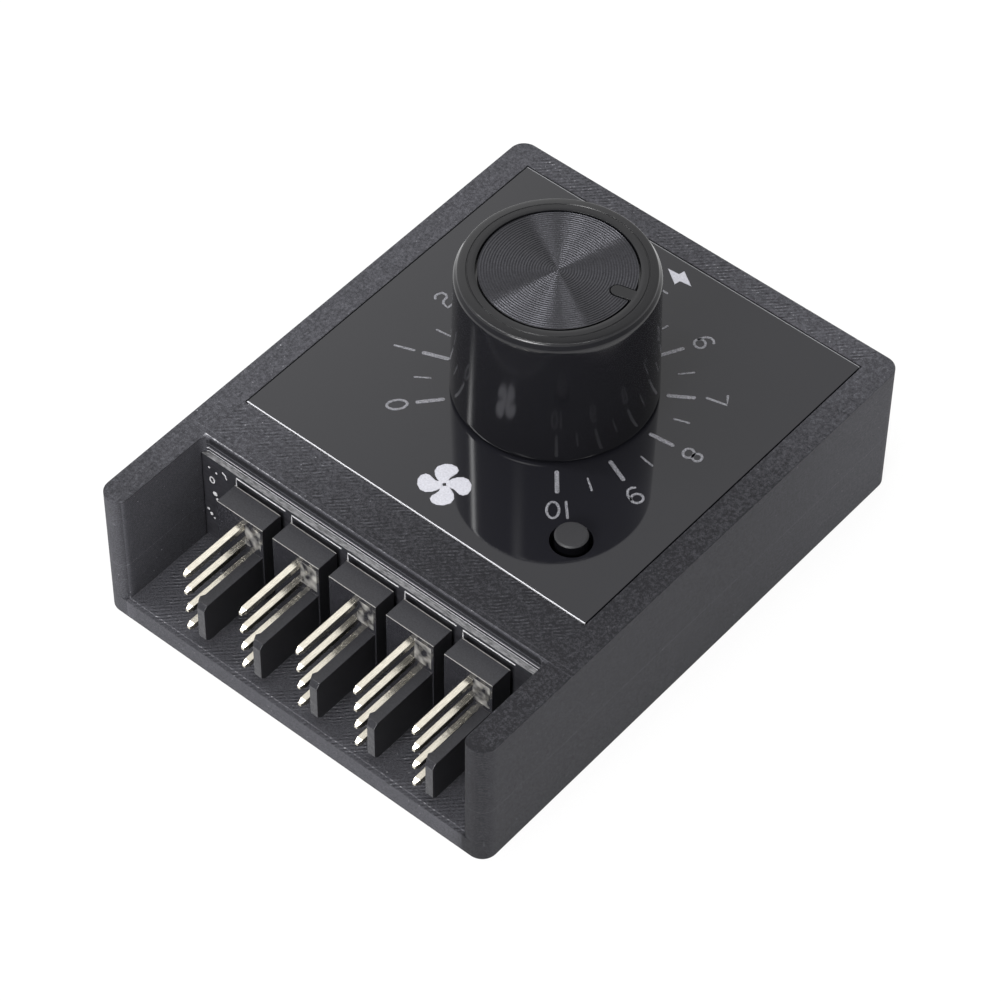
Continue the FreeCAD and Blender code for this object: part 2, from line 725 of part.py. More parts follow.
def pot_nut():
    """Hexagon nut on the bush, hidden in the knob."""
    hexagon = doc.addObject("Part::Prism", "nut_hexagon")
    hexagon.Polygon = 6
    bind(hexagon, Circumradius="nut_flats/sqrt(3)", Height="nut_height", y="panel_y",
         z="case_height + washer_thickness")
    corners = doc.addObject("Part::Cone", "nut_corners")
    bind(corners, Radius1="nut_flats/sqrt(3)", Radius2="nut_flats*0.5", Height="nut_height", y="panel_y",
         z="case_height + washer_thickness")
    blank = doc.addObject("Part::Common", "nut_blank")
    blank.Base = hexagon
    blank.Tool = corners
    hole = rod("nut_hole", "0", "panel_y", "case_height", "bush_top + 1", "bush_radius + running_gap")
    return cut("pot_nut", blank, hole)


# Boards

def header_board():
    """Upright board behind the recess, with a row of holes for every fan header."""
    body = new_body("header_board")
    sketch = new_sketch(body, "header_board_outline", plane="XZ_Plane", level="-header_board_back")
    draw_box(sketch, "-(inner_x + groove_depth - board_slack)", "inner_x + groove_depth - board_slack",
             "header_board_under", "header_board_top")
    feature(body, "Pad", "header_board_plate", sketch, "header_board_thickness")
    sketch = new_sketch(body, "pin_holes_outline", plane="XZ_Plane", level="-header_board_front")
    for number in range(PINS):
        draw_square(sketch, header_place(0), pin_level(number), PIN_HOLE)
    holes = feature(body, "Pocket", "pin_holes", sketch, "header_board_thickness")
    row = body.newObject("PartDesign::LinearPattern", "pin_hole_rows")
    row.Originals = [holes]
    row.Direction = (sketch, ["H_Axis"])
    row.setExpression("Length", formula(f"{HEADERS - 1}*header_pitch"))
    row.Occurrences = HEADERS
    body.Tip = row
    doc.recompute()
    sketch = new_sketch(body, "link_holes_outline", plane="XZ_Plane", level="-header_board_front")
    for number in range(HEADERS - 1):
        draw_square(sketch, link_place(number), LINK_LEVEL, PIN_HOLE)
    feature(body, "Pocket", "link_holes", sketch, "header_board_thickness")
    return body


def pin_level(number):
    return f"header_under + {number + 0.5}*pin_pitch"


def header_place(number):
    return f"row_shift + {number - (HEADERS - 1) / 2}*header_pitch"


def link_place(number):
    return f"row_shift + {number - (HEADERS - 2) / 2}*header_pitch"


LINK_LEVEL = "board_top + pin_pitch/2"
PIN_HOLE = "pin_width + 2*running_gap"


def main_board():
    """Lower board, notched round the screw bosses and drilled for every lead and peg."""
    body = new_body("main_board")
    sketch = new_sketch(body, "board_outline", level="board_under")
    draw(sketch, [
        ("-notch_x", "board_front"), ("notch_x", "board_front"), ("notch_x", "notch_front"),
        ("board_x", "notch_front"), ("board_x", "notch_rear"), ("notch_x", "notch_rear"),
        ("notch_x", "board_rear"), ("-notch_x", "board_rear"), ("-notch_x", "notch_rear"),
        ("-board_x", "notch_rear"), ("-board_x", "notch_front"), ("-notch_x", "notch_front"),
    ])
    feature(body, "Pad", "board_plate", sketch, "board_thickness")
    sketch = new_sketch(body, "lead_holes_outline", level="board_top")
    for across, along in PEGS:
        draw_circle(sketch, across, along, "peg_radius + peg_slack")
    for number in range(HEADERS - 1):
        draw_square(sketch, link_place(number), LINK_REAR, PIN_HOLE)
    for number in range(3):
        draw_square(sketch, f"{number - 1}*terminal_pitch",
                    "panel_y - pot_length/2 - 1.5*terminal_thickness", "terminal_width + 2*running_gap")
    for side in ("-", ""):
        draw_box(sketch, f"{side}(leg_x - bracket_thickness)", f"{side}(leg_x + bracket_thickness)",
                 "panel_y - bracket_leg_width/2 - running_gap", "panel_y + bracket_leg_width/2 + running_gap")
        draw_square(sketch, f"capacitor_x {side or '+'} capacitor_radius*0.45", "capacitor_y", PIN_HOLE)
    for across in ("-", "+"):
        for along in ("-", "+"):
            draw_square(sketch, f"button_x {across} {SWITCH_LEG_X}", f"button_y {along} {SWITCH_LEG_Y}",
                        "terminal_width + 2*running_gap")
    for along in JACK_STRAPS:
        draw_box(sketch, "-strap_width/2 - running_gap", "strap_width/2 + running_gap",
                 f"{along} - terminal_thickness - running_gap", f"{along} + running_gap")
    feature(body, "Pocket", "lead_holes", sketch, "board_thickness")
    return body


PEGS = (("-peg_x", "front_peg_y"), ("peg_x", "rear_peg_y"))
LINK_REAR = "header_board_back + pin_tail + 3*board_slack"
SWITCH_LEG_X = "(switch_size/2 + terminal_thickness/2)"
SWITCH_LEG_Y = "switch_size*0.375"
JACK_STRAPS = ("jack_rear + 2*terminal_thickness", "socket_end + jack_flange/2")


def link_pins():
    """Four bent pins that join the lower board to the upright one."""
    pieces = []
    for number in range(HEADERS - 1):
        left = f"{link_place(number)} - pin_width/2"
        right = f"{link_place(number)} + pin_width/2"
        flat = block(f"link_flat_{number}", left, right, "header_board_front + board_slack/2",
                     f"{LINK_REAR} + pin_width/2", f"{LINK_LEVEL} - pin_width/2",
                     f"{LINK_LEVEL} + pin_width/2")
        down = block(f"link_down_{number}", left, right, f"{LINK_REAR} - pin_width/2",
                     f"{LINK_REAR} + pin_width/2", "lead_end", LINK_LEVEL)
        pieces.append(join(f"link_{number}", [flat, down]))
    return join("link_pins", pieces, "Part::Compound")


# Fan headers

def fan_header(number):
    """One header housing: a block on a foot, with a locking tab beside the pins."""
    body = new_body(f"fan_header_{number + 1}")
    body.setExpression("Placement.Base.x", formula(header_place(number)))
    sketch = new_sketch(body, f"header_outline_{number}", level="header_under")
    draw(sketch, [
        ("-header_left", "block_rear"), ("-header_left", "block_front"),
        ("header_right", "block_front"), ("header_right", "block_rear"),
    ])
    feature(body, "Pad", f"header_block_{number}", sketch, f"{PINS}*pin_pitch")
    sketch = new_sketch(body, f"foot_outline_{number}", level="header_under + foot_inset")
    draw_box(sketch, "foot_inset - header_left", "header_right - foot_inset",
             "block_rear - header_standoff", "header_board_front")
    feature(body, "Pad", f"foot_{number}", sketch, f"{PINS}*pin_pitch - 2*foot_inset")
    sketch = new_sketch(body, f"tab_outline_{number}", level="header_under + tab_raise")
    draw(sketch, [
        ("tab_right", "block_front + tab_thickness/2"),
        ("tab_right - tab_thickness", "block_front + tab_thickness/2"),
        ("tab_right - tab_thickness", "tab_tip + 3*tab_bevel"),
        ("tab_right - tab_thickness - tab_bevel/2", "tab_tip + 2*tab_bevel"),
        ("tab_right - tab_thickness + tab_bevel/2", "tab_tip"),
        ("tab_right", "tab_tip"),
    ])
    tab = feature(body, "Pad", f"tab_{number}", sketch, "tab_height")
    tip = value("tab_tip")
    ends = edges_where(tab, lambda a, b: abs(a.y - tip) < 1e-6 and abs(b.y - tip) < 1e-6
                       and not upright(a, b))
    soften(body, "Chamfer", f"tab_ends_{number}", tab, ends, "tab_bevel")
    sketch = new_sketch(body, f"header_bores_{number}", plane="XZ_Plane", level="-header_board_front")
    for pin in range(PINS):
        draw_box(sketch, "-pin_width/2", "pin_width/2", f"{pin_level(pin)} - pin_width/2",
                 f"{pin_level(pin)} + pin_width/2")
    feature(body, "Pocket", f"pin_slots_{number}", sketch, "header_depth + 1", reverse=True)
    return body


def header_pins(number):
    """Four square pins with pointed ends, in one header and through the upright board."""
    pins = []
    place = header_place(number)
    for pin in range(PINS):
        name = f"{number}_{pin}"
        bar = block("pin_bar_" + name, f"{place} - pin_width/2", f"{place} + pin_width/2",
                    "pin_tip + pin_point", "header_board_back + pin_tail",
                    f"{pin_level(pin)} - pin_width/2", f"{pin_level(pin)} + pin_width/2")
        point = doc.addObject("Part::Wedge", "pin_point_" + name)
        bind(point, Xmin="0", Xmax="pin_width", Zmin="0", Zmax="pin_width", Ymin="0", Ymax="pin_point",
             X2min="0.25*pin_width", X2max="0.75*pin_width", Z2min="0.25*pin_width",
             Z2max="0.75*pin_width")
        point.Placement.Rotation = FreeCAD.Rotation(Vector(0, 0, 1), 180)
        bind(point, x=f"{place} + pin_width/2", y="pin_tip + pin_point",
             z=f"{pin_level(pin)} - pin_width/2")
        pins.append(join("pin_" + name, [bar, point]))
    return join(f"header_pins_{number + 1}", pins, "Part::Compound")


# Power socket

def power_jack():
    """Socket housing: a square flange in the rear wall and a round barrel on a foot behind it."""
    half = "jack_width/2"
    flange = new_body("jack_flange_body")
    sketch = new_sketch(flange, "jack_flange_outline", plane="XZ_Plane", level="-rear_y")
    draw_box(sketch, f"-{half}", half, "board_top", "board_top + jack_height")
    plate = feature(flange, "Pad", "jack_flange_plate", sketch, "jack_flange")
    top = value("board_top + jack_height")
    ends = edges_where(plate, lambda a, b: abs(a.z - top) < 1e-6 and abs(b.z - top) < 1e-6
                       and abs(a.x - b.x) < 1e-6)
    soften(flange, "Fillet", "jack_flange_corners", plate, ends, "corner_radius")
    barrel = lying_rod("jack_barrel", "0", "jack_z", "jack_rear", "rear_y - jack_flange/2",
                       "jack_barrel_radius")
    foot = block("jack_foot", "-jack_barrel_radius", "jack_barrel_radius", "jack_rear",
                 "rear_y - jack_flange/2", "board_top", "jack_z")
    bore = lying_rod("jack_bore", "0", "jack_z", "socket_end", "rear_y + 1", "socket_radius")
    seat = lying_rod("jack_pin_seat", "0", "jack_z", "jack_rear - 1", "socket_end + 1",
                     "centre_pin_radius")
    slot = block("jack_contact_slot", "-strap_width/2", "strap_width/2",
                 "socket_end + jack_flange/2 - terminal_thickness", "rear_y - jack_flange",
                 "board_top - 1", "jack_z - socket_radius + terminal_thickness")
    rear_slot = block("jack_tail_slot", "-strap_width/2", "strap_width/2", "jack_rear - 1",
                      "jack_rear + 2*terminal_thickness", "board_top - 1", "jack_z + centre_pin_radius")
    return cut("power_jack", join("jack_blank", [flange, barrel, foot]),
               join("jack_hollows", [bore, seat, slot, rear_slot]))


def jack_pin():
    """Centre pin with a tapered tip, and the strap that takes it down to the board."""
    pin = lying_rod("centre_pin", "0", "jack_z", "jack_rear + terminal_thickness",
                    "rear_y - centre_pin_setback - centre_pin_radius", "centre_pin_radius")
    tip = doc.addObject("Part::Cone", "centre_pin_tip")
    tip.Placement.Rotation = FreeCAD.Rotation(Vector(1, 0, 0), -90)
    bind(tip, Radius1="centre_pin_radius", Radius2="centre_pin_radius*0.45", Height="centre_pin_radius",
         y="rear_y - centre_pin_setback - centre_pin_radius", z="jack_z")
    strap = block("centre_pin_strap", "-strap_width/2 + running_gap", "strap_width/2 - running_gap",
                  "jack_rear + terminal_thickness", "jack_rear + 2*terminal_thickness - running_gap",
                  "lead_end", "jack_z + centre_pin_radius - running_gap")
    return join("jack_pin", [pin, tip, strap])


def jack_contact():
    """Sprung leaf along the floor of the socket, with its strap down to the board."""
    level = "jack_z - socket_radius - terminal_thickness/2"
    leaf = block("contact_leaf", "-strap_width/2 + running_gap", "strap_width/2 - running_gap",
                 "socket_end + jack_flange/2 - terminal_thickness + running_gap",
                 "rear_y - jack_flange - 2*running_gap", f"{level} - terminal_thickness/2",
                 f"{level} + terminal_thickness/2")
    bump = lying_rod("contact_bump", "0", f"{level} - strap_width/2 + terminal_thickness",
                     "socket_end + jack_flange", "socket_end + jack_flange + strap_width/2",
                     "strap_width/2 - running_gap")
    keep = block("contact_bump_keep", "-strap_width/2", "strap_width/2", "socket_end", "rear_y", level,
                 f"{level} + strap_width")
    bump_top = doc.addObject("Part::Common", "contact_bump_top")
    bump_top.Base = bump
    bump_top.Tool = keep
    strap = block("contact_strap", "-strap_width/2 + running_gap", "strap_width/2 - running_gap",
                  "socket_end + jack_flange/2 - terminal_thickness + running_gap",
                  "socket_end + jack_flange/2 - running_gap", "lead_end", level)
    return join("jack_contact", [leaf, bump_top, strap])


# Push button switch

def switch_body():
    """Square switch housing with a round chamber and a hole that guides the button."""
    body = new_body("switch_body")
    bind(body, x="button_x", y="button_y")
    sketch = new_sketch(body, "switch_outline", level="board_top")
    half = "switch_size/2"
    draw_box(sketch, f"-{half}", half, f"-{half}", half)
    base = feature(body, "Pad", "switch_block", sketch, "switch_height")
    soften(body, "Fillet", "switch_corners", base, edges_where(base, upright), "switch_base")
    sketch = new_sketch(body, "chamber_outline", level="switch_top - switch_roof")
    draw_circle(sketch, "0", "0", "collar_radius + 3*running_gap")
    feature(body, "Pocket", "chamber", sketch, "switch_height - switch_roof - switch_base")
    sketch = new_sketch(body, "guide_outline", level="switch_top")
    draw_circle(sketch, "0", "0", "button_radius + running_gap")
    feature(body, "Pocket", "guide", sketch, "2*switch_roof")
    return body


def switch_plunger():
    """Long button with a collar that keeps it in the switch."""
    body = new_body("switch_plunger")
    bind(body, x="button_x", y="button_y")
    sketch = new_sketch(body, "plunger_section", plane="XZ_Plane")
    draw(sketch, [
        ("0", "collar_top - collar_height"),
        ("collar_radius", "collar_top - collar_height"),
        ("collar_radius", "collar_top"),
        ("button_radius", "collar_top"),
        ("button_radius", "button_top - 3*running_gap"),
        ("button_radius - 3*running_gap", "button_top"),
        ("0", "button_top"),
    ])
    revolve(body, "plunger_form", sketch)
    return body


def switch_dome():
    """Snap dome that pushes the button back up."""
    body = new_body("switch_dome")
    bind(body, x="button_x", y="button_y")
    sketch = new_sketch(body, "dome_section", plane="XZ_Plane")
    under = "board_top + switch_base"
    draw(sketch, [
        ("0", "dome_top - dome_thickness"),
        ("0.5*collar_radius", "dome_top - 1.6*dome_thickness"),
        ("collar_radius - dome_thickness", under),
        ("collar_radius", under),
        ("0.55*collar_radius", "dome_top - 0.6*dome_thickness"),
        ("0", "dome_top"),
    ])
    revolve(body, "dome_form", sketch)
    return body


def switch_legs():
    pieces = []
    for number, (side, along) in enumerate([("-", "-"), ("-", "+"), ("", "-"), ("", "+")]):
        near = f"button_x + {side}1*(switch_size/2)"
        far = f"button_x + {side}1*(switch_size/2 + terminal_thickness)"
        left, right = (far, near) if side else (near, far)
        middle = f"button_y {along} {SWITCH_LEG_Y}"
        pieces.append(block(f"switch_leg_{number}", left, right, f"{middle} - terminal_width*0.4",
                            f"{middle} + terminal_width*0.4", "lead_end", "board_top + switch_base"))
    return join("switch_legs", pieces, "Part::Compound")


# Small electronic parts on the lower board

def filter_capacitor():
    """Electrolytic can with a rolled neck, on two leads."""
    body = new_body("filter_capacitor")
    bind(body, x="capacitor_x", y="capacitor_y")
    sketch = new_sketch(body, "can_section", plane="XZ_Plane")
    neck = "board_top + capacitor_height*0.14"
    draw(sketch, [
        ("0", "board_top"),
        ("capacitor_radius", "board_top"),
        ("capacitor_radius", f"{neck} - capacitor_height*0.04"),
        ("capacitor_radius*0.9", neck),
        ("capacitor_radius", f"{neck} + capacitor_height*0.04"),
        ("capacitor_radius", "board_top + capacitor_height*0.97"),
        ("capacitor_radius*0.93", "board_top + capacitor_height"),
        ("0", "board_top + capacitor_height"),
    ])
    revolve(body, "can_form", sketch)
    sketch = new_sketch(body, "can_leads_outline", level="board_top")
    for side in ("-", ""):
        draw_square(sketch, f"{side}1*(capacitor_radius*0.45)", "0", "pin_width*0.8")
    feature(body, "Pad", "can_leads", sketch, "board_top - lead_end", reverse=True)
    return body


def legged_package(label, place, length, width, height, legs):
    """Moulded package on the lower board with bent legs along two sides."""
    across, along = place
    low = "terminal_thickness/2"
    pieces = [block(label + "_case", f"{across} - {length}/2", f"{across} + {length}/2",
                    f"{along} - {width}/2", f"{along} + {width}/2", f"board_top + {low}",
                    f"board_top + {height}")]
    for number in range(legs):
        middle = f"{across} + ({number + 0.5}/{legs} - 0.5)*{length}"
        for side, sign in (("front", "-"), ("rear", "+")):
            near = f"{along} {sign} {width}/2"
            far = f"{along} {sign} ({width}/2 + 3*{low})"
            tip = f"{along} {sign} ({width}/2 + 6*{low})"
            shoulder = [near, far] if sign == "+" else [far, near]
            toe = [far, tip] if sign == "+" else [tip, far]
            inner = f"{along} {sign} ({width}/2 + 2*{low})"
            shin = [inner, far] if sign == "+" else [far, inner]
            half = "terminal_thickness*0.6"
            name = f"{label}_leg_{side}_{number}"
            pieces.append(block(name + "_shoulder", f"{middle} - {half}", f"{middle} + {half}",
                                *shoulder, f"board_top + {height}/2 - {low}", f"board_top + {height}/2"))
            pieces.append(block(name + "_shin", f"{middle} - {half}", f"{middle} + {half}",
                                *shin, "board_top", f"board_top + {height}/2"))
            pieces.append(block(name + "_toe", f"{middle} - {half}", f"{middle} + {half}",
                                *toe, "board_top", f"board_top + {low}"))
    return join(label, pieces)


def regulator():
    """Power package on its metal tab, with two legs."""
    across = "-panel_size*0.3"
    along = "panel_y - panel_size*0.04"
    size = "chip_length*0.65"
    tab = block("regulator_tab", f"{across} - {size}*0.85", f"{across} + {size}*0.85",
                f"{along} - {size}*0.5", f"{along} + {size}*1.45", "board_top",
                "board_top + terminal_thickness")
    case = block("regulator_case", f"{across} - {size}", f"{across} + {size}", f"{along} - {size}",
                 f"{along} + {size}*0.9", "board_top + terminal_thickness/2", "board_top + 1.5*chip_height")
    legs = []
    for sign in ("-", "+"):
        legs.append(block("regulator_leg_" + ("left" if sign == "-" else "right"),
                          f"{across} {sign} {size}*0.7 - terminal_width/2",
                          f"{across} {sign} {size}*0.7 + terminal_width/2",
                          f"{along} - {size}*1.7", f"{along} - {size}*0.9", "board_top",
                          "board_top + terminal_thickness"))
    return join("regulator", [tab, case] + legs)


def two_ended(label, across, along, length, width, height):
    """Small part with a metal end at each side."""
    middle = block(label + "_middle", f"{across} - {length}*0.3", f"{across} + {length}*0.3",
                   f"{along} - {width}/2", f"{along} + {width}/2", "board_top", f"board_top + {height}")
    ends = []
    for side, near, far in (("left", "-0.5", "-0.3"), ("right", "0.3", "0.5")):
        ends.append(block(label + "_" + side, f"{across} + {length}*({near})", f"{across} + {length}*({far})",
                          f"{along} - {width}*0.48", f"{along} + {width}*0.48", "board_top",
                          f"board_top + {height}*0.96"))
    return join(label, [middle] + ends)


def chip_resistors():
    """Two rows of small resistors in front of the controller chip."""
    pieces = []
    for row in range(2):
        for column in range(4):
            pieces.append(two_ended(f"resistor_{row}_{column}",
                                    f"-panel_size*0.27 + {column}*chip_width*0.8",
                                    f"panel_front - {row}*chip_width*0.5", "chip_length*0.4",
                                    "chip_width*0.32", "chip_height*0.35"))
    return join("chip_resistors", pieces, "Part::Compound")


def make_parts():
    parts = [case_shell(), bottom_cover(), cover_screws(), face_panel(), knob_body(), knob_disc(),
             pot_body(), pot_wafer(), pot_bracket(), pot_bushing(), pot_shaft(), pot_wiper(),
             pot_terminals(), pot_washer(), pot_nut(), header_board(), main_board(), link_pins()]
    for number in range(HEADERS):
        parts.append(fan_header(number))
        parts.append(header_pins(number))
    parts += [power_jack(), jack_pin(), jack_contact(), switch_body(), switch_plunger(), switch_dome(),
              switch_legs(), filter_capacitor(), regulator(), chip_resistors()]
    parts.append(legged_package("controller_chip", ("-panel_size*0.2", "panel_front + panel_size*0.2"),
                                "chip_length", "chip_width", "chip_height", 4))
    parts.append(two_ended("protection_diode", "panel_size*0.27", "panel_y + panel_size*0.28",
                           "chip_length", "chip_width*0.7", "chip_height*1.4"))
    parts.append(two_ended("fuse", "panel_size*0.3", "panel_y + panel_size*0.05",
                           "chip_length*0.9", "chip_width*0.8", "chip_height*0.7"))
    return parts


def check(parts):
    """Stops if an object failed or a part is not made of closed, valid solids."""
    for thing in doc.Objects:
        if "Invalid" in thing.State or "Error" in thing.State:
            raise RuntimeError(f"{thing.Name} failed: {thing.State}")
    for part in parts:
        shape = part.Shape
        if shape.isNull() or not shape.isValid() or not shape.Solids:
            raise RuntimeError(f"{part.Label} has no valid solid")


doc = FreeCAD.newDocument("fan_controller_hub")
sheet = make_sheet()
parts = make_parts()
doc.recompute()
check(parts)
os.makedirs("parts", exist_ok=True)
for part in parts:
    part.Shape.exportStep(f"parts/{part.Label}.step")
    print(f"{part.Label:20s} solids {len(part.Shape.Solids):3d}  volume {part.Shape.Volume:9.2f}")
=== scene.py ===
"""Small fan controller hub: finishes, printed marks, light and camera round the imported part.

X runs along the open front to the right, Y to the rear and Z up. Lengths are millimetres in the
functions below and metres in the scene.
"""
import json
import math

import bmesh
import bpy
from mathutils import Matrix, Vector


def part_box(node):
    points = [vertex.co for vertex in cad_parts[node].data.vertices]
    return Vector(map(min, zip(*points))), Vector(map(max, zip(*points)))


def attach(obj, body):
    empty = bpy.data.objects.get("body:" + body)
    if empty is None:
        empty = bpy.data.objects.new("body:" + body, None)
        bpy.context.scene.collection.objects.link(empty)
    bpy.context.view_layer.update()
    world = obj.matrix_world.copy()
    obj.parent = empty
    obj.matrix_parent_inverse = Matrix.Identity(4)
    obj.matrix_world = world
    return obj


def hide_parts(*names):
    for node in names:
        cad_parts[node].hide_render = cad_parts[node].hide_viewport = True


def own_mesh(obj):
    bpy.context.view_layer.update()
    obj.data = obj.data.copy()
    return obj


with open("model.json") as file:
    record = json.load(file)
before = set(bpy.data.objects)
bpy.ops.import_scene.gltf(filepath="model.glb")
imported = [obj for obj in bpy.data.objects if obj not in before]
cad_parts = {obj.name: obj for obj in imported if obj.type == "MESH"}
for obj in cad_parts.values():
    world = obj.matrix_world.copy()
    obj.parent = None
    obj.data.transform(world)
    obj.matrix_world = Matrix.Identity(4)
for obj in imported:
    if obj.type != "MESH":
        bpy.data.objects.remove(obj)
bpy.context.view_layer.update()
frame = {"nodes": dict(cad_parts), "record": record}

MM = 0.001

# Main planes and centres of the part
CASE_TOP = 16.0
CASE_FRONT = -30.5
CASE_SIDE = 23.5
WALL_FACE = 20.8
TRAY_TOP = 2.25
RECESS_Y = -18.75
BOARD_FRONT = -19.35
PANEL_CENTRE = (0.0, 7.3)
PANEL_HALF = 20.5
KNOB_TOP = 31.6
PIN_PITCH = 2.54
HEADER_COUNT = 5
HEADER_PITCH = 6.95
MIDDLE_HEADER = 0.98
HEADER_X = [HEADER_PITCH * (n - HEADER_COUNT // 2) + MIDDLE_HEADER for n in range(HEADER_COUNT)]
HEADER_FRONT = -22.4
HEADER_REAR = -19.94
HEADER_FOOT = 3.1
HEADER_TOP = HEADER_FOOT + 4 * PIN_PITCH


# Nodes

def linear(colour):
    """An sRGB hex colour as linear red, green, blue and alpha."""
    parts = [int(colour[n:n + 2], 16) / 255 for n in (1, 3, 5)]
    return [p / 12.92 if p <= 0.04045 else ((p + 0.055) / 1.055) ** 2.4 for p in parts] + [1.0]


def feed(made, inputs):
    """Feeds a node's inputs, given in order or by name.

    Each gets a value, an sRGB hex colour, an output of a node, or a node for its first output in use.
    """
    for key, given in inputs.items() if isinstance(inputs, dict) else enumerate(inputs):
        socket = next(s for n, s in enumerate(made.inputs) if s.enabled and key in (n, s.name))
        if isinstance(given, bpy.types.Node):
            given = next(output for output in given.outputs if output.enabled)
        if isinstance(given, bpy.types.NodeSocket):
            made.id_data.links.new(given, socket)
        else:
            socket.default_value = linear(given) if isinstance(given, str) else given


def node(owner, kind, inputs=(), stops=(), **settings):
    """Adds a node with its settings and links; its kind may be followed by its operation.

    The stops of a colour ramp are positions, each with an sRGB hex colour.
    """
    tree = getattr(owner, "node_tree", owner)
    kind, _, operation = kind.partition(" ")
    family = "" if kind.startswith(("GeometryNode", "FunctionNode", "NodeGroup")) else "ShaderNode"
    made = tree.nodes.new(family + kind)
    if operation:
        made.operation = operation
    for name, setting in settings.items():
        setattr(made, name, setting)
    for number, (position, colour) in enumerate(stops):
        elements = made.color_ramp.elements
        element = elements[number] if number < 2 else elements.new(position)
        element.position = position
        element.color = linear(colour)
    feed(made, inputs)
    return made


# Meshes

def finished(name, mesh, body, slot, *materials):
    """Puts a mesh in the scene on a body, with its place in its vertices."""
    for material in materials:
        mesh.materials.append(material)
    piece = bpy.data.objects.new(name, mesh)
    bpy.context.scene.collection.objects.link(piece)
    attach(piece, body)
    return piece


def mesh_of(name, form, smooth=False):
    """Turns a form in millimetres into a mesh in metres with its faces outwards."""
    bmesh.ops.remove_doubles(form, verts=form.verts, dist=1e-5)
    bmesh.ops.recalc_face_normals(form, faces=form.faces)
    bmesh.ops.scale(form, vec=(MM, MM, MM), verts=form.verts)
    mesh = bpy.data.meshes.new(name)
    form.to_mesh(mesh)
    form.free()
    if smooth:
        mesh.shade_smooth()
    return mesh


def add_plate(form, outline, level, thickness, to_world=None):
    """Adds a flat closed plate over an outline, given anticlockwise from its outer side."""
    under = [form.verts.new((x, y, level)) for x, y in outline]
    over = [form.verts.new((x, y, level + thickness)) for x, y in outline]
    form.faces.new(list(reversed(under)))
    form.faces.new(over)
    for number in range(len(outline)):
        following = (number + 1) % len(outline)
        form.faces.new((under[number], under[following], over[following], over[number]))
    if to_world is not None:
        bmesh.ops.transform(form, matrix=to_world, verts=under + over)


def round_end(tip, before, half):
    """Points round the end of a stroke, from its right side to its left."""
    along = (tip - before).normalized() * half
    return [tip + Matrix.Rotation(turn, 2) @ along for turn in (-1.2, -0.8, -0.4, 0, 0.4, 0.8, 1.2)]


def stroke_outline(points, width, closed=False):
    """The outline or outlines of a stroke with round ends along a line of points."""
    half = width / 2
    points = [Vector(p) for p in points]
    count = len(points)
    sides = [[], []]
    for number, point in enumerate(points):
        before = points[number - 1] if closed or number else point
        after = points[(number + 1) % count] if closed or number < count - 1 else point
        along = (after - before).normalized()
        across = Vector((-along.y, along.x))
        sides[0].append(point - across * half)
        sides[1].append(point + across * half)
    if closed:
        return sides
    cap = round_end(points[-1], points[-2], half)
    tail = round_end(points[0], points[1], half)
    return [sides[0] + cap + list(reversed(sides[1])) + tail]


def add_stroke(form, points, width, level, thickness, closed=False, to_world=None):
    """Adds a printed stroke: a thin plate along a line, or a closed ribbon round a loop."""
    outlines = stroke_outline(points, width, closed)
    if not closed:
        add_plate(form, [(p.x, p.y) for p in outlines[0]], level, thickness, to_world)
        return
    count = len(outlines[0])
    rings = [[form.verts.new((p.x, p.y, z)) for p in outline]
             for outline in outlines for z in (level, level + thickness)]
    for number in range(count):
        following = (number + 1) % count
        for a, b in ((0, 1), (1, 3), (3, 2), (2, 0)):
            corners = (rings[a][number], rings[a][following], rings[b][following], rings[b][number])
            form.faces.new(corners)
    if to_world is not None:
        bmesh.ops.transform(form, matrix=to_world, verts=[v for ring in rings for v in ring])


def arc(centre, radii, start, end, steps):
    """Points along part of an ellipse, in degrees."""
    angles = [math.radians(start + (end - start) * n / steps) for n in range(steps + 1)]
    return [(centre[0] + radii[0] * math.cos(a), centre[1] + radii[1] * math.sin(a)) for a in angles]


def spun(name, profile, steps, centre=(0, 0), smooth_angle=35):
    """Turns a profile of radius and height into a closed form, smooth where its corners are slight."""
    form = bmesh.new()
    angles = [math.tau * n / steps for n in range(steps)]
    rings = []
    for radius, height in profile:
        if radius < 1e-6:
            rings.append([form.verts.new((*centre, height))] * steps)
            continue
        rings.append([form.verts.new((centre[0] + radius * math.cos(a),
                                      centre[1] + radius * math.sin(a), height)) for a in angles])
    for low, high in zip(rings, rings[1:]):
        for n in range(steps):
            m = (n + 1) % steps
            # where a ring is a point on the axis, the face has three corners
            corners = list(dict.fromkeys((low[n], low[m], high[m], high[n])))
            if len(corners) > 2:
                form.faces.new(corners)
    mesh = mesh_of(name, form, smooth=True)
    mesh.set_sharp_from_angle(angle=math.radians(smooth_angle))
    return mesh


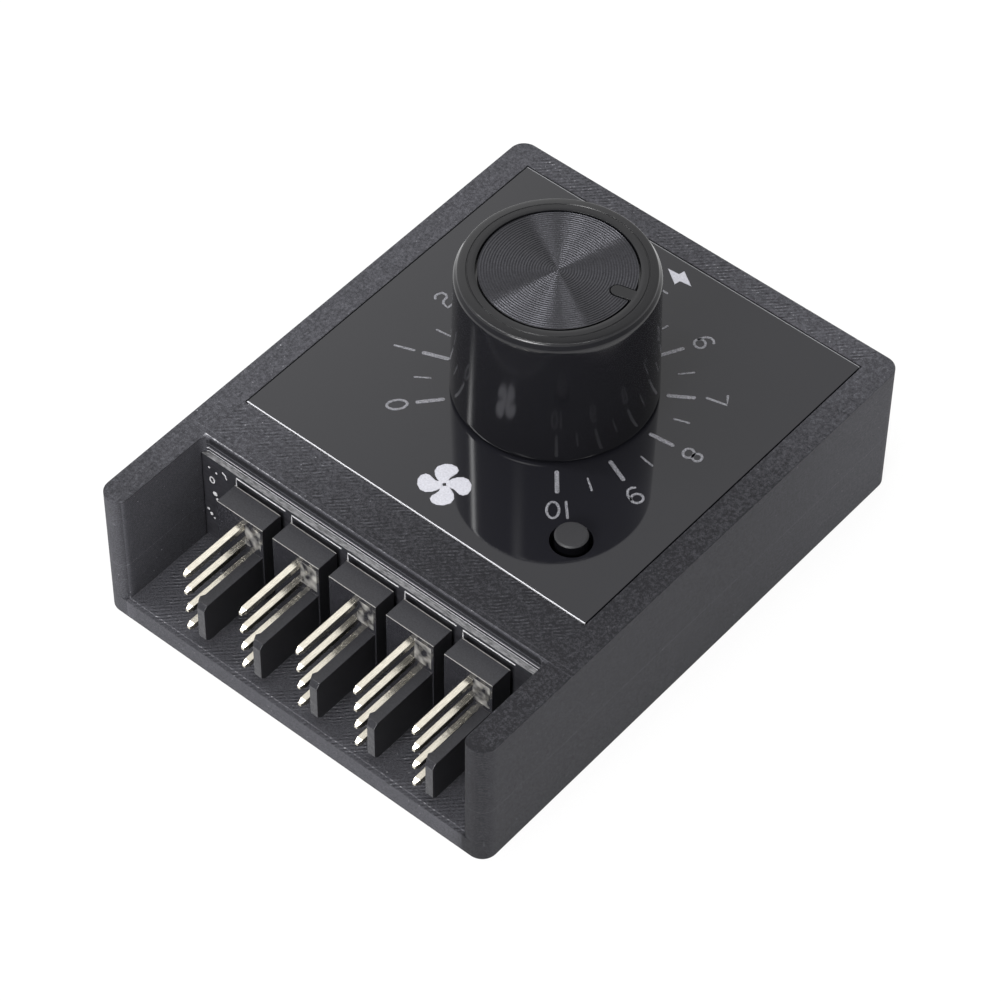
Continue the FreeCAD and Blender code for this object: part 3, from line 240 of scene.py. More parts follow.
def repeat_tree():
    """Sets copies of a form at equal steps, along a line or round a centre."""
    tree = bpy.data.node_groups.new("equal_steps", "GeometryNodeTree")
    tree.interface.new_socket("Geometry", in_out="OUTPUT", socket_type="NodeSocketGeometry")
    for name, kind in (("Form", "Geometry"), ("Count", "Int"), ("First place", "Vector"), ("Pitch", "Vector"),
                       ("First angle", "Float"), ("Step angle", "Float"), ("Ink", "Material")):
        tree.interface.new_socket(name, in_out="INPUT", socket_type="NodeSocket" + kind)
    given = node(tree, "NodeGroupInput").outputs
    number = node(tree, "GeometryNodeInputIndex")
    place = node(tree, "VectorMath MULTIPLY_ADD", (number, given["Pitch"], given["First place"]))
    points = node(tree, "GeometryNodePoints", {"Count": given["Count"], "Position": place})
    angle = node(tree, "Math MULTIPLY_ADD", (number, given["Step angle"], given["First angle"]))
    turn = node(tree, "FunctionNodeEulerToRotation", (node(tree, "CombineXYZ", {"Z": angle}),))
    copies = node(tree, "GeometryNodeInstanceOnPoints",
                  {"Points": points, "Instance": given["Form"], "Rotation": turn})
    whole = node(tree, "GeometryNodeRealizeInstances", {"Geometry": copies})
    inked = node(tree, "GeometryNodeSetMaterial", {"Geometry": whole, "Material": given["Ink"]})
    node(tree, "NodeGroupOutput", {"Geometry": inked})
    return tree


EQUAL_STEPS = repeat_tree()


def add_copies(form, single, ink, count, first, pitch=(0.0, 0.0, 0.0), start=0.0, step=0.0):
    """Adds copies of a single form: the first place and the pitch in millimetres, angles in degrees."""
    mesh = bpy.data.meshes.new("single")
    single.to_mesh(mesh)
    single.free()
    maker = bpy.data.objects.new("single", mesh)
    bpy.context.scene.collection.objects.link(maker)
    modifier = maker.modifiers.new("copies", "NODES")
    modifier.node_group = EQUAL_STEPS
    sizes = {"Count": count, "First place": first, "Pitch": pitch,
             "First angle": math.radians(start), "Step angle": math.radians(step), "Ink": ink}
    for socket in EQUAL_STEPS.interface.items_tree:
        if socket.name in sizes:
            modifier[socket.identifier] = sizes[socket.name]
    evaluated = maker.evaluated_get(bpy.context.evaluated_depsgraph_get())
    form.from_mesh(bpy.data.meshes.new_from_object(evaluated))
    maker.modifiers.remove(modifier)
    bpy.data.objects.remove(maker)


# Materials, with their patterns in millimetres: the scale of a noise is its lumps in each millimetre

def new_material(name, colour, roughness, **values):
    """A material, its shader, and the place of each point on the piece in millimetres."""
    material = bpy.data.materials.new(name)
    material.use_nodes = True
    shader = material.node_tree.nodes["Principled BSDF"]
    feed(shader, {"Base Color": colour, "Roughness": roughness})
    feed(shader, {key.replace("_", " "): given for key, given in values.items()})
    place = node(material, "TexCoord").outputs["Object"]
    place = node(material, "Mapping", {"Vector": place, "Scale": (1 / MM, 1 / MM, 1 / MM)})
    return material, shader, place


def relief(material, shader, height, depth, edge=0.12):
    """Raises the surface by a pattern of the given depth, over corners worn to a small radius."""
    worn = node(material, "Bevel", {"Radius": edge * MM}, samples=4)
    raised = node(material, "Bump",
                  {"Height": height, "Distance": depth * MM, "Strength": 1.0, "Normal": worn})
    feed(shader, {"Normal": raised})


def marks(material, level, bands):
    """The strongest of some bands across a level, each given by its centre, half width and strength."""
    strongest = 0.0
    for centre, half, strength in bands:
        band = node(material, "Math COMPARE", (level, centre, half))
        band = node(material, "Math MULTIPLY", (band, strength))
        strongest = node(material, "Math MAXIMUM", (band, strongest))
    return strongest


def printed_black():
    """Black printed plastic: diagonal extrusion lines on faces that look up, layers on upright ones."""
    material, shader, place = new_material("black_printed_plastic", "#3c3c40", 0.5, Specular_IOR_Level=0.12)
    x, y, z = node(material, "SeparateXYZ", (place,)).outputs
    normal = node(material, "NewGeometry").outputs["Normal"]
    facing = node(material, "Math ABSOLUTE", (node(material, "SeparateXYZ", (normal,)).outputs["Z"],))
    flat = node(material, "Math GREATER_THAN", (facing, 0.7))
    upright = node(material, "Math SUBTRACT", (1.0, flat))
    sideways = node(material, "Math ABSOLUTE", (x,))
    between = node(material, "Math COMPARE", (x, 0.0, WALL_FACE))

    # extrusion lines at 45 degrees between the walls, broken up along their length
    line_pitch = 0.4
    patches = node(material, "TexNoise", {"Vector": place, "Scale": 0.5, "Detail": 3.0})
    wander = node(material, "TexNoise", {"Vector": place, "Scale": 0.5, "Detail": 2.0})
    across = node(material, "Math SUBTRACT", (y, x))
    across = node(material, "Math MULTIPLY_ADD", (across, 0.7071 / line_pitch, wander))
    lines = node(material, "Math SINE", (node(material, "Math MULTIPLY", (across, math.tau)),))
    along = node(material, "Mapping",
                 {"Vector": place, "Rotation": (0, 0, -math.pi / 4), "Scale": (0.8, 1.6, 1)})
    broken = node(material, "TexNoise", {"Vector": along, "Scale": 2.4, "Detail": 2.0})
    broken = node(material, "MapRange", {"Value": broken, "From Min": 0.35, "From Max": 0.75})
    patched = node(material, "MapRange", {"Value": patches, "From Min": 0.4, "From Max": 0.6})
    strength = node(material, "Math MULTIPLY", (patched, broken))
    lines = node(material, "Math MULTIPLY", (node(material, "Math MULTIPLY", (lines, strength)), 1.3))

    # on top of the side walls the lines run along the wall
    bead_pitch = 0.42
    walls = node(material, "Math GREATER_THAN", (sideways, WALL_FACE - 0.2))
    beads = node(material, "Math SINE", (node(material, "Math MULTIPLY", (x, math.tau / bead_pitch)),))
    patched = node(material, "MapRange", {"Value": patches, "From Min": 0.45, "From Max": 0.7})
    beads = node(material, "Math MULTIPLY", (node(material, "Math MULTIPLY", (beads, patched)), 0.25))
    hatch = node(material, "Mix", {"Factor": walls, "A": lines, "B": beads})
    strip = node(material, "Math COMPARE", (y, RECESS_Y + 0.35, 0.5))
    strip = node(material, "Math MULTIPLY", (strip, node(material, "Math COMPARE", (z, CASE_TOP, 0.5))))
    hatch = node(material, "Math MULTIPLY", (hatch, node(material, "Math SUBTRACT", (1.0, strip))))

    # layers drawn 0.25 mm high so that they show
    layer = 0.25
    wave = node(material, "Math SINE", (node(material, "Math MULTIPLY", (z, math.tau / layer)),))
    level = node(material, "Mapping", {"Vector": place, "Scale": (0.25, 0.25, 4.0)})
    drag = node(material, "TexNoise", {"Vector": level, "Scale": 3.0, "Detail": 2.0})
    drag = node(material, "MapRange", {"Value": drag, "From Min": 0.35, "From Max": 0.7})
    layers = node(material, "Math MULTIPLY", (node(material, "Math MULTIPLY", (wave, drag)), 0.25))
    pattern = node(material, "Mix", {"Factor": flat, "A": layers, "B": hatch})
    grain = node(material, "TexNoise", {"Vector": place, "Scale": 9.0, "Detail": 3.0})
    relief(material, shader, node(material, "Math MULTIPLY_ADD", (grain, 0.8, pattern)), 0.035)

    # painted highlights on single layers of the recess's upper edge and on its top arris, and painted shade
    # lines between them
    edge = node(material, "Math COMPARE", (y, RECESS_Y - 0.05, 0.2))
    edge = node(material, "Math MULTIPLY", (edge, between))
    pale = marks(material, z, ((14.13, 0.05, 1.0), (14.56, 0.05, 0.5), (CASE_TOP - 0.04, 0.05, 0.3)))
    pale = node(material, "Math MULTIPLY", (pale, edge))
    dark = marks(material, z, ((14.93, 0.12, 1.0), (14.34, 0.1, 1.0), (15.42, 0.24, 0.8)))
    dark = node(material, "Math MULTIPLY", (dark, edge))
    # a layer low on the outside, one along the tray's front, and two lines on the strip's top
    seam = marks(material, z, ((7.05, 0.06, 0.12),))
    lip = marks(material, y, ((CASE_FRONT + 0.48, 0.06, 0.2),))
    lip = node(material, "Math MULTIPLY", (lip, node(material, "Math COMPARE", (z, TRAY_TOP, 0.3))))
    rim = marks(material, y, ((RECESS_Y + 0.62, 0.03, 1.0), (RECESS_Y + 0.11, 0.03, 1.0)))
    rim = node(material, "Math MULTIPLY", (rim, node(material, "Math COMPARE", (z, CASE_TOP, 0.05))))
    light = node(material, "Math MAXIMUM", (node(material, "Math MAXIMUM", (seam, pale)), lip))

    # pale flecks, and painted light in the recess: its faces are painted paler, as for light that reaches
    # inside it
    flecks = node(material, "TexNoise", {"Vector": place, "Scale": 3.2, "Detail": 1.0})
    flecks = node(material, "MapRange", {"Value": flecks, "From Min": 0.72, "From Max": 0.8})
    painted_recess_light = node(material, "Math LESS_THAN", (y, RECESS_Y - 0.1))
    painted_recess_light = node(material, "Math MULTIPLY", (painted_recess_light, between))
    painted_recess_light = node(material, "Math MULTIPLY", (painted_recess_light, node(material, "Math COMPARE", (z, 8.0, 7.9))))
    # painted light: the front of the left post is painted paler and that of the right post darker, as the
    # light falls from the front left
    ends = node(material, "MapRange", {"Value": sideways, "From Min": 19.5, "From Max": 21.0})
    front = node(material, "MapRange",
                 {"Value": y, "From Min": CASE_FRONT + 1.5, "From Max": CASE_FRONT + 0.1})
    post_front_light = node(material, "Math MULTIPLY", (node(material, "Math MULTIPLY", (ends, front)), x))
    # painted sheen: the surface is painted paler from the front right corner to the left and the rear, as a
    # soft light falls across it, and the top is painted darker by a fixed step; the mottle on the top and the
    # right side is the plastic's own
    aslant = node(material, "Math SUBTRACT", (node(material, "Math MULTIPLY", (y, 0.9)), x))
    painted_sheen = node(material, "MapRange", {"Value": aslant, "From Min": -24.0, "From Max": 12.0},
                interpolation_type="SMOOTHSTEP")
    mottle = node(material, "TexNoise", {"Vector": place, "Scale": 3.4, "Detail": 3.0})
    mottle = node(material, "Math MULTIPLY", (node(material, "Math SUBTRACT", (mottle, 0.5)), 0.75))
    upper = node(material, "Math MULTIPLY", (node(material, "Math COMPARE", (z, CASE_TOP, 0.1)), flat))
    top_sheen_and_mottle = node(material, "Math MULTIPLY_ADD", (painted_sheen, 0.29, mottle))
    top_sheen_and_mottle = node(material, "Math MULTIPLY", (node(material, "Math SUBTRACT", (top_sheen_and_mottle, 0.14)), upper))
    right = node(material, "MapRange", {"Value": x, "From Min": WALL_FACE, "From Max": CASE_SIDE - 0.1})
    right = node(material, "Math MULTIPLY", (right, upright))
    side_sheen_and_mottle = node(material, "Math MULTIPLY", (painted_sheen, 0.2))
    side_sheen_and_mottle = node(material, "Math MULTIPLY_ADD", (mottle, 0.3, side_sheen_and_mottle))
    side_sheen_and_mottle = node(material, "Math MULTIPLY", (side_sheen_and_mottle, right))

    tone = 0.0
    grained = node(material, "MapRange", {"Value": grain, "From Min": 0.25, "From Max": 0.75})
    for share, weight in ((grained, 0.4), (pattern, 0.25), (flecks, 0.3), (rim, 0.16), (painted_recess_light, 0.17),
                          (post_front_light, -0.0066), (top_sheen_and_mottle, 1.0), (side_sheen_and_mottle, 1.0), (light, 1.0), (dark, -0.3)):
        tone = node(material, "Math MULTIPLY_ADD", (share, weight, tone))
    stops = ((0.0, "#1c1c1f"), (0.3, "#38383c"), (0.6, "#515156"), (1.0, "#c4c4c8"))
    feed(shader, {"Base Color": node(material, "ValToRGB", (tone,), stops),
                  "Roughness": node(material, "MapRange", {"Value": grain, "To Min": 0.5, "To Max": 0.7})})
    return material


def gloss_panel():
    """Cast acrylic sheet with a polished face and a faint orange peel, and saw-cut edges painted pale as a
    highlight where they catch the light.
    """
    material, shader, place = new_material("black_acrylic_sheet", "#17171b", 0.03, IOR=1.5)
    swell = node(material, "TexNoise", {"Vector": place, "Scale": 0.12, "Detail": 1.0})
    relief(material, shader, swell, 0.004, 0.05)
    y = node(material, "SeparateXYZ", (place,)).outputs["Y"]
    # painted highlight: the front and rear cut edges are painted pale where they catch the light; the front
    # one is rougher too
    front = node(material, "Math COMPARE", (y, PANEL_CENTRE[1] - PANEL_HALF + 0.04, 0.045))
    cut_edge_highlight = marks(material, y, ((PANEL_CENTRE[1] + PANEL_HALF - 0.05, 0.05, 0.25),))
    cut_edge_highlight = node(material, "Math MAXIMUM", (front, cut_edge_highlight))
    smooth = node(material, "TexNoise", {"Vector": place, "Scale": 1.5, "Detail": 3.0})
    smooth = node(material, "MapRange", {"Value": smooth, "To Min": 0.02, "To Max": 0.05})
    colour = node(material, "Mix", {"Factor": cut_edge_highlight, "A": "#17171b", "B": "#c8c8cc"}, data_type="RGBA")
    feed(shader, {"Base Color": colour,
                  "Roughness": node(material, "Math MULTIPLY_ADD", (front, 0.4, smooth))})
    return material


def knob_moulding():
    """ABS moulded against a polished tool, so a deep gloss, with a satin top and a dull bevel."""
    material, shader, place = new_material("piano_black_abs", "#141416", 0.08, IOR=1.52)
    z = node(material, "SeparateXYZ", (place,)).outputs["Z"]
    top = node(material, "Math GREATER_THAN", (z, KNOB_TOP - 0.12))
    bevel = node(material, "Math COMPARE", (z, KNOB_TOP - 0.47, 0.18))
    duller = node(material, "Math MAXIMUM", (bevel, node(material, "Math MULTIPLY", (top, 0.5))))
    cloud = node(material, "TexNoise", {"Vector": place, "Scale": 6.0, "Detail": 2.0})
    rough = node(material, "Mix", {"Factor": top, "A": 0.1, "B": 0.2})
    feed(shader, {"Base Color": node(material, "Mix", {"Factor": top, "A": "#131316", "B": "#101012"},
                                     data_type="RGBA"),
                  "Roughness": node(material, "Math MULTIPLY_ADD", (cloud, 0.05, rough)),
                  "Specular IOR Level": node(material, "MapRange",
                                             {"Value": duller, "To Min": 0.5, "To Max": 0.15})})
    fine = node(material, "TexNoise", {"Vector": place, "Scale": 14.0, "Detail": 2.0})
    relief(material, shader, fine, 0.0008, 0.05)
    return material


def turned_black():
    """Aluminium disc, faced on a lathe and anodised black: fine rings and bow-tie shines."""
    material, shader, place = new_material("turned_black_anodised_aluminium", "#3a3a3e", 0.3,
                                           Metallic=1.0, Anisotropic=0.89, Anisotropic_Rotation=0.25)
    centre = (-PANEL_CENTRE[0], -PANEL_CENTRE[1], 0)
    centred = node(material, "Mapping", {"Vector": place, "Location": centre})
    x, y, _ = node(material, "SeparateXYZ", (centred,)).outputs
    flat = node(material, "CombineXYZ", (x, y))
    radius = node(material, "VectorMath LENGTH", (flat,))

    # tool marks drawn 0.26 mm apart so that they show, with flanks that lean in and out by about 27 degrees
    mark = 0.26
    rings = node(material, "Math PINGPONG", (radius, mark / 2))
    rub = node(material, "TexNoise", {"Vector": centred, "Scale": 6.0, "Detail": 3.0})
    flank = node(material, "Math FRACT", (node(material, "Math DIVIDE", (radius, mark)),))
    flank = node(material, "Math SIGN", (node(material, "Math SUBTRACT", (flank, 0.5)),))
    lean = node(material, "MapRange", {"Value": rub, "To Min": 0.36, "To Max": 0.6})
    lean = node(material, "Math MULTIPLY", (flank, lean))
    outwards = node(material, "VectorMath NORMALIZE", (flat,))
    tilt = node(material, "VectorMath SCALE", {"Vector": outwards, "Scale": lean})
    tilted = node(material, "VectorMath ADD", (tilt, (0, 0, 1)))
    tilted = node(material, "VectorTransform", (tilted,), vector_type="NORMAL",
                  convert_from="OBJECT", convert_to="WORLD")
    plain = node(material, "NewGeometry").outputs["Normal"]
    facing = node(material, "SeparateXYZ", (plain,)).outputs["Z"]
    face = node(material, "Math GREATER_THAN", (facing, 0.9))
    normal = node(material, "Mix", {"Factor": face, "A": plain, "B": tilted}, data_type="VECTOR")
    tone = node(material, "Math MULTIPLY", (rub, 0.9))
    tone = node(material, "Math MULTIPLY_ADD", (rings, 1.8, tone))
    feed(shader, {"Base Color": node(material, "ValToRGB", (tone,), ((0.1, "#242427"), (0.8, "#47474b"))),
                  "Normal": normal,
                  "Tangent": node(material, "Tangent", direction_type="RADIAL", axis="Z")})
    return material


def header_nylon():
    """Glass-filled nylon, moulded: satin, with a glossy front face."""
    material, shader, place = new_material("black_moulded_nylon", "#2e2e31", 0.4, Specular_IOR_Level=0.35)
    x, y, z = node(material, "SeparateXYZ", (place,)).outputs
    normal = node(material, "SeparateXYZ", (node(material, "NewGeometry").outputs["Normal"],)).outputs
    front = node(material, "Math LESS_THAN", (normal["Y"], -0.7))
    fine = node(material, "TexNoise", {"Vector": place, "Scale": 7.0, "Detail": 3.0})
    lumps = node(material, "TexNoise", {"Vector": place, "Scale": 1.3, "Detail": 2.0})
    waves = node(material, "Math MULTIPLY", (lumps, front))
    relief(material, shader, node(material, "Math MULTIPLY_ADD", (waves, 8.0, fine)), 0.008)

    # painted highlights: a pale patch on the glossy front beside the pins, where it reflects the light, and
    # thin lines along the front and rear edges of the top
    half = HEADER_PITCH / 2
    cell = node(material, "Math WRAP", (x, MIDDLE_HEADER + half, MIDDLE_HEADER - half))
    patchy = node(material, "TexNoise", {"Vector": place, "Scale": 0.9, "Detail": 1.5})
    painted_glare = node(material, "MapRange", {"Value": patchy, "From Min": 0.4, "From Max": 0.72})
    for given, centre, reach in ((cell, MIDDLE_HEADER + 1.3, 1.0), (z, 11.2, 1.5), (y, HEADER_FRONT, 0.3)):
        within = node(material, "Math COMPARE", (given, centre, reach))
        painted_glare = node(material, "Math MULTIPLY", (painted_glare, within))
    painted_glare = node(material, "Math MULTIPLY", (node(material, "Math MULTIPLY", (painted_glare, front)), 0.6))
    edge = marks(material, y, ((HEADER_FRONT, 0.05, 0.5), (HEADER_REAR, 0.04, 0.5)))
    edge = node(material, "Math MULTIPLY", (edge, node(material, "Math COMPARE", (z, HEADER_TOP, 0.06))))
    pale = node(material, "Math MAXIMUM", (painted_glare, edge))

    # painted shade: the deep side faces between the blocks are painted darker, as the neighbouring blocks
    # shade them
    side = node(material, "Math ABSOLUTE", (normal["X"],))
    side = node(material, "Math MULTIPLY", (node(material, "Math GREATER_THAN", (side, 0.7)), 0.6))
    body = node(material, "ValToRGB", (fine,), ((0.3, "#1e1e21"), (0.7, "#2c2c30")))
    body = node(material, "Mix", {"Factor": side, "A": body, "B": "#0c0c0d"}, data_type="RGBA")
    colour = node(material, "Mix", {"Factor": pale, "A": body, "B": "#b4b2ae"}, data_type="RGBA")
    feed(shader, {"Base Color": colour,
                  "Roughness": node(material, "Mix", {"Factor": front, "A": 0.42, "B": 0.1})})
    return material


def tinned_pins():
    """Brass drawn square and tin plated: warm bright metal with fine lengthwise marks."""
    material, shader, place = new_material("tin_plated_brass", "#b8b19c", 0.28, Metallic=1.0)
    along = node(material, "Mapping", {"Vector": place, "Scale": (4.0, 0.3, 4.0)})
    drawn = node(material, "TexNoise", {"Vector": along, "Scale": 4.0, "Detail": 3.0})
    dents = node(material, "TexNoise", {"Vector": place, "Scale": 1.6, "Detail": 2.0})
    feed(shader, {"Base Color": node(material, "ValToRGB", (drawn,), ((0.25, "#cbc5b6"), (0.75, "#e6e1d4"))),
                  "Roughness": node(material, "MapRange", {"Value": drawn, "To Min": 0.14, "To Max": 0.34})})
    relief(material, shader, node(material, "Math MULTIPLY_ADD", (dents, 3.0, drawn)), 0.006, 0.06)
    return material


def plunger_plastic():
    """Acetal, moulded: a fine spark-eroded top, and sides polished deep black."""
    material, shader, place = new_material("textured_black_acetal", "#29292c", 0.45)
    normal = node(material, "NewGeometry").outputs["Normal"]
    facing = node(material, "SeparateXYZ", (normal,)).outputs["Z"]
    upper = node(material, "Math GREATER_THAN", (facing, 0.5))
    grit = node(material, "TexNoise", {"Vector": place, "Scale": 9.0, "Detail": 3.0})
    body = node(material, "ValToRGB", (grit,), ((0.3, "#141416"), (0.7, "#242427")))
    colour = node(material, "Mix", {"Factor": upper, "A": "#08080a", "B": body}, data_type="RGBA")
    feed(shader, {"Base Color": colour,
                  "Roughness": node(material, "Mix", {"Factor": upper, "A": 0.15, "B": 0.5}),
                  "Specular IOR Level": node(material, "MapRange",
                                             {"Value": upper, "To Min": 0.15, "To Max": 0.5})})
    relief(material, shader, node(material, "Math MULTIPLY", (grit, upper)), 0.02, 0.05)
    return material


def board_black():
    """Glass-fibre laminate: black solder mask on its faces, pale cut edges."""
    material, shader, place = new_material("black_masked_laminate", "#151517", 0.3)
    normal = node(material, "NewGeometry").outputs["Normal"]
    side = node(material, "Math ABSOLUTE", (node(material, "SeparateXYZ", (normal,)).outputs["Y"],))
    edge = node(material, "Math LESS_THAN", (side, 0.5))
    woven = node(material, "Mapping", {"Vector": place, "Scale": (0.5, 2.0, 1.0)})
    glass = node(material, "TexNoise", {"Vector": woven, "Scale": 3.5, "Detail": 4.0})
    pale = node(material, "ValToRGB", (glass,), ((0.3, "#3c3c3d"), (0.7, "#848486")))
    mask = node(material, "ValToRGB", (glass,), ((0.3, "#222225"), (0.7, "#323236")))
    colour = node(material, "Mix", {"Factor": edge, "A": mask, "B": pale}, data_type="RGBA")
    feed(shader, {"Base Color": colour,
                  "Roughness": node(material, "Mix", {"Factor": edge, "A": 0.28, "B": 0.7})})
    relief(material, shader, glass, 0.01)
    return material


def plain_finish(name, colours, roughness, lumps, depth, stretch=None, **values):
    """A finish with fine lumps in its colour, its polish and its surface."""
    material, shader, place = new_material(name, colours[0], roughness, **values)
    if stretch:
        place = node(material, "Mapping", {"Vector": place, "Scale": stretch})
    lumpy = node(material, "TexNoise", {"Vector": place, "Scale": lumps, "Detail": 3.0})
    uneven = {"Value": lumpy, "To Min": roughness * 0.8, "To Max": roughness * 1.25}
    feed(shader, {"Base Color": node(material, "ValToRGB", (lumpy,), ((0.3, colours[0]), (0.7, colours[1]))),
                  "Roughness": node(material, "MapRange", uneven)})
    relief(material, shader, lumpy, depth)
    return material


finishes = {
    "case_print": printed_black(),
    "panel_acrylic": gloss_panel(),
    "knob_gloss": knob_moulding(),
    "turned_disc": turned_black(),
    "header_nylon": header_nylon(),
    "plated_pins": tinned_pins(),
    "circuit_board": board_black(),
    # rolled steel under bright nickel: fine grain one way
    "steel": plain_finish("nickel_plated_steel", ("#9a9a9e", "#c4c4c8"), 0.3, 2.0, 0.004,
                          (6, 0.5, 1), Metallic=1.0),
    # machined screws, chemically blacked: dark and slightly oily
    "black_steel": plain_finish("blacked_steel", ("#1e1e20", "#37373a"), 0.4, 8.0, 0.004, Metallic=1.0),
    # turned bar, bright: clean silver
    "shaft_metal": plain_finish("turned_aluminium", ("#b4b4b8", "#d2d2d6"), 0.28, 2.0, 0.003,
                                (0.6, 0.6, 8), Metallic=1.0),
    # phenolic moulding, dull green
    "pot_moulding": plain_finish("green_phenolic", ("#1f4a3a", "#2c5c49"), 0.5, 5.0, 0.01),
    # paper laminate with a fine fibre
    "wafer": plain_finish("brown_paper_laminate", ("#5d3d22", "#7b5431"), 0.55, 4.0, 0.01, (3, 0.6, 1)),
    # moulded switch plastic, satin black
    "switch_plastic": plain_finish("satin_black_acetal", ("#1c1c1f", "#29292c"), 0.45, 9.0, 0.01),
    # rolled phosphor bronze, warm and bright
    "spring_bronze": plain_finish("phosphor_bronze", ("#c39a5c", "#dcb87c"), 0.3, 2.0, 0.003,
                                  (5, 0.5, 1), Metallic=1.0),
    # epoxy moulding compound, dull and slightly pitted
    "chip_plastic": plain_finish("black_epoxy", ("#1b1b1d", "#2c2c2f"), 0.6, 10.0, 0.012),
    # drawn aluminium can, satin
    "can_metal": plain_finish("drawn_aluminium_can", ("#b9b9bd", "#d8d8dc"), 0.34, 3.0, 0.003,
                              (0.5, 0.5, 6), Metallic=1.0),
}
slot_of = {part["node"]: part["material_slot"] for part in frame["record"]["subparts"]}
for name, piece in frame["nodes"].items():
    piece.data.materials.clear()
    piece.data.materials.append(finishes[slot_of[name]])
frame["nodes"]["switch_plunger"].data.materials[0] = plunger_plastic()

# screen ink on the panel: slightly grey, a little uneven
panel_ink = plain_finish("pale_grey_screen_ink", ("#26262a", "#919197"), 0.5, 8.0, 0.003)
# thicker white ink for the two symbols
symbol_ink = plain_finish("white_screen_ink", ("#9e9ea5", "#b8b8bf"), 0.5, 6.0, 0.003)
# epoxy legend ink on the board
board_ink = plain_finish("white_legend_ink", ("#b8b8ba", "#d6d6d8"), 0.55, 6.0, 0.004)

# Knob, spun smooth, with the same section as the moulding and its index tongue

TONGUE_ANGLE = 15
TONGUE_HALF = 0.63
TONGUE_END = 5.32
TONGUE_ROOT = 7.66
SEAT = 30.75
KNOB_SECTION = [(0, 28.7), (3.03, 28.7), (3.03, 19.0), (4.7, 19.0), (4.7, 29.3), (7.9, 29.3), (7.9, 16.25),
                (9.75, 16.25), (9.88, 16.3), (9.95, 16.45), (9.942, 16.8), (9.9, 18.6), (9.67, 28.5),
                (9.628, 30.35), (9.62, 30.7), (9.605, 30.8), (9.57, 30.88), (9.54, 30.94), (9.3, 31.37),
                (9.27, 31.43), (9.23, 31.47), (9.17, 31.5), (8.95, 31.54), (8.7, 31.57), (8.48, 31.59),
                (8.44, 31.53), (8.36, 31.53), (8.32, KNOB_TOP), (8.0, KNOB_TOP), (7.7, KNOB_TOP),
                (7.62, 31.58), (7.6, 31.5), (7.6, SEAT), (0, SEAT)]
knob = spun("knob_turned", KNOB_SECTION, 160, PANEL_CENTRE)
tongue = arc((TONGUE_END + TONGUE_HALF, 0), (TONGUE_HALF, TONGUE_HALF), 90, 270, 14)
tongue = tongue + [(TONGUE_ROOT, -TONGUE_HALF), (TONGUE_ROOT, TONGUE_HALF)]
onto_knob = Matrix.Translation((*PANEL_CENTRE, 0)) @ Matrix.Rotation(math.radians(TONGUE_ANGLE), 4, "Z")
form = bmesh.new()
add_plate(form, tongue, SEAT + 0.01, KNOB_TOP - SEAT - 0.015, onto_knob)
tongue_mesh = mesh_of("tongue", form)
form = bmesh.new()
form.from_mesh(knob)
form.from_mesh(tongue_mesh)
form.to_mesh(knob)
form.free()
cap = finished("knob_turned", knob, "knob", "knob_gloss", finishes["knob_gloss"])
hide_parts("knob_body")

# Snap dome under the plunger, in its rest shape

DOME_RADIUS = 2.2
DOME_SHEET = 0.12
low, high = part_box("switch_dome")
foot = low[2] / MM
crown = high[2] / MM
middle = ((low[0] + high[0]) / 2 / MM, (low[1] + high[1]) / 2 / MM)
DOME_SECTION = [(0, crown - DOME_SHEET), (DOME_RADIUS / 2, crown - 1.6 * DOME_SHEET),
                (DOME_RADIUS - DOME_SHEET, foot), (DOME_RADIUS, foot),
                (0.55 * DOME_RADIUS, crown - 0.6 * DOME_SHEET), (0, crown)]
dome = finished("snap_dome", spun("snap_dome", DOME_SECTION, 48, middle), "case", "spring_bronze",
                finishes["spring_bronze"])
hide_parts("switch_dome")
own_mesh(dome)

# Dial print: eleven long ticks with their numbers, and short ones between

INK = 0.02
DIAL_START = 229.5
DIAL_STEP = 27.9
DIAL_COUNT = 11
TICK_OUTER = 13.3
MAJOR_INNER = 10.5
MINOR_INNER = 11.8
DIGIT_RADIUS = 15.3
LOW_DIGIT_RADIUS = 15.05
TEN_ANGLES = (313.7, 308.9)
DIAL_CENTRE = (0.2, 7.1)
DIGIT_HEIGHT = 2.2
DIGIT_WIDTH = 1.15
DIGIT_STROKE = 0.26
MAJOR_STROKE = 0.42
MINOR_STROKE = 0.2

# Each digit as strokes in a box one wide and two high, centred on the origin
DIGITS = {
    "0": [(arc((0, 0), (0.5, 1), 0, 345, 23), True)],
    "1": [([(0, 1), (0, -1)], False)],
    "2": [([(-0.47, 0.72), (-0.32, 0.95), (0, 1), (0.38, 0.85), (0.5, 0.45), (0.32, 0.06), (-0.12, -0.04),
            (-0.36, -0.3), (-0.42, -1), (0.5, -1)], False)],
    "3": [(arc((0, 0.5), (0.45, 0.5), 150, -90, 10) + arc((0, -0.5), (0.5, 0.5), 90, -150, 10), False)],
    "4": [([(0.25, -1), (0.25, 1), (-0.5, -0.4), (0.5, -0.4)], False)],
    "5": [([(0.42, 1), (-0.36, 1), (-0.42, 0.1)] + arc((0, -0.35), (0.5, 0.62), 130, -140, 12), False)],
    "6": [(arc((0, -0.42), (0.5, 0.56), 0, 345, 20), True),
          ([(-0.5, -0.3), (-0.5, 0.4), (-0.24, 0.88), (0.12, 1.0), (0.4, 0.85)], False)],
    "7": [([(-0.5, 1), (0.5, 1), (-0.1, -1)], False)],
    "8": [(arc((0, 0.52), (0.42, 0.46), 0, 340, 17), True), (arc((0, -0.46), (0.5, 0.52), 0, 345, 20), True)],
    "9": [(arc((0, 0.42), (0.5, 0.56), 0, 345, 20), True),
          ([(0.5, 0.3), (0.5, -0.4), (0.24, -0.88), (-0.12, -1.0), (-0.4, -0.85)], False)],
}


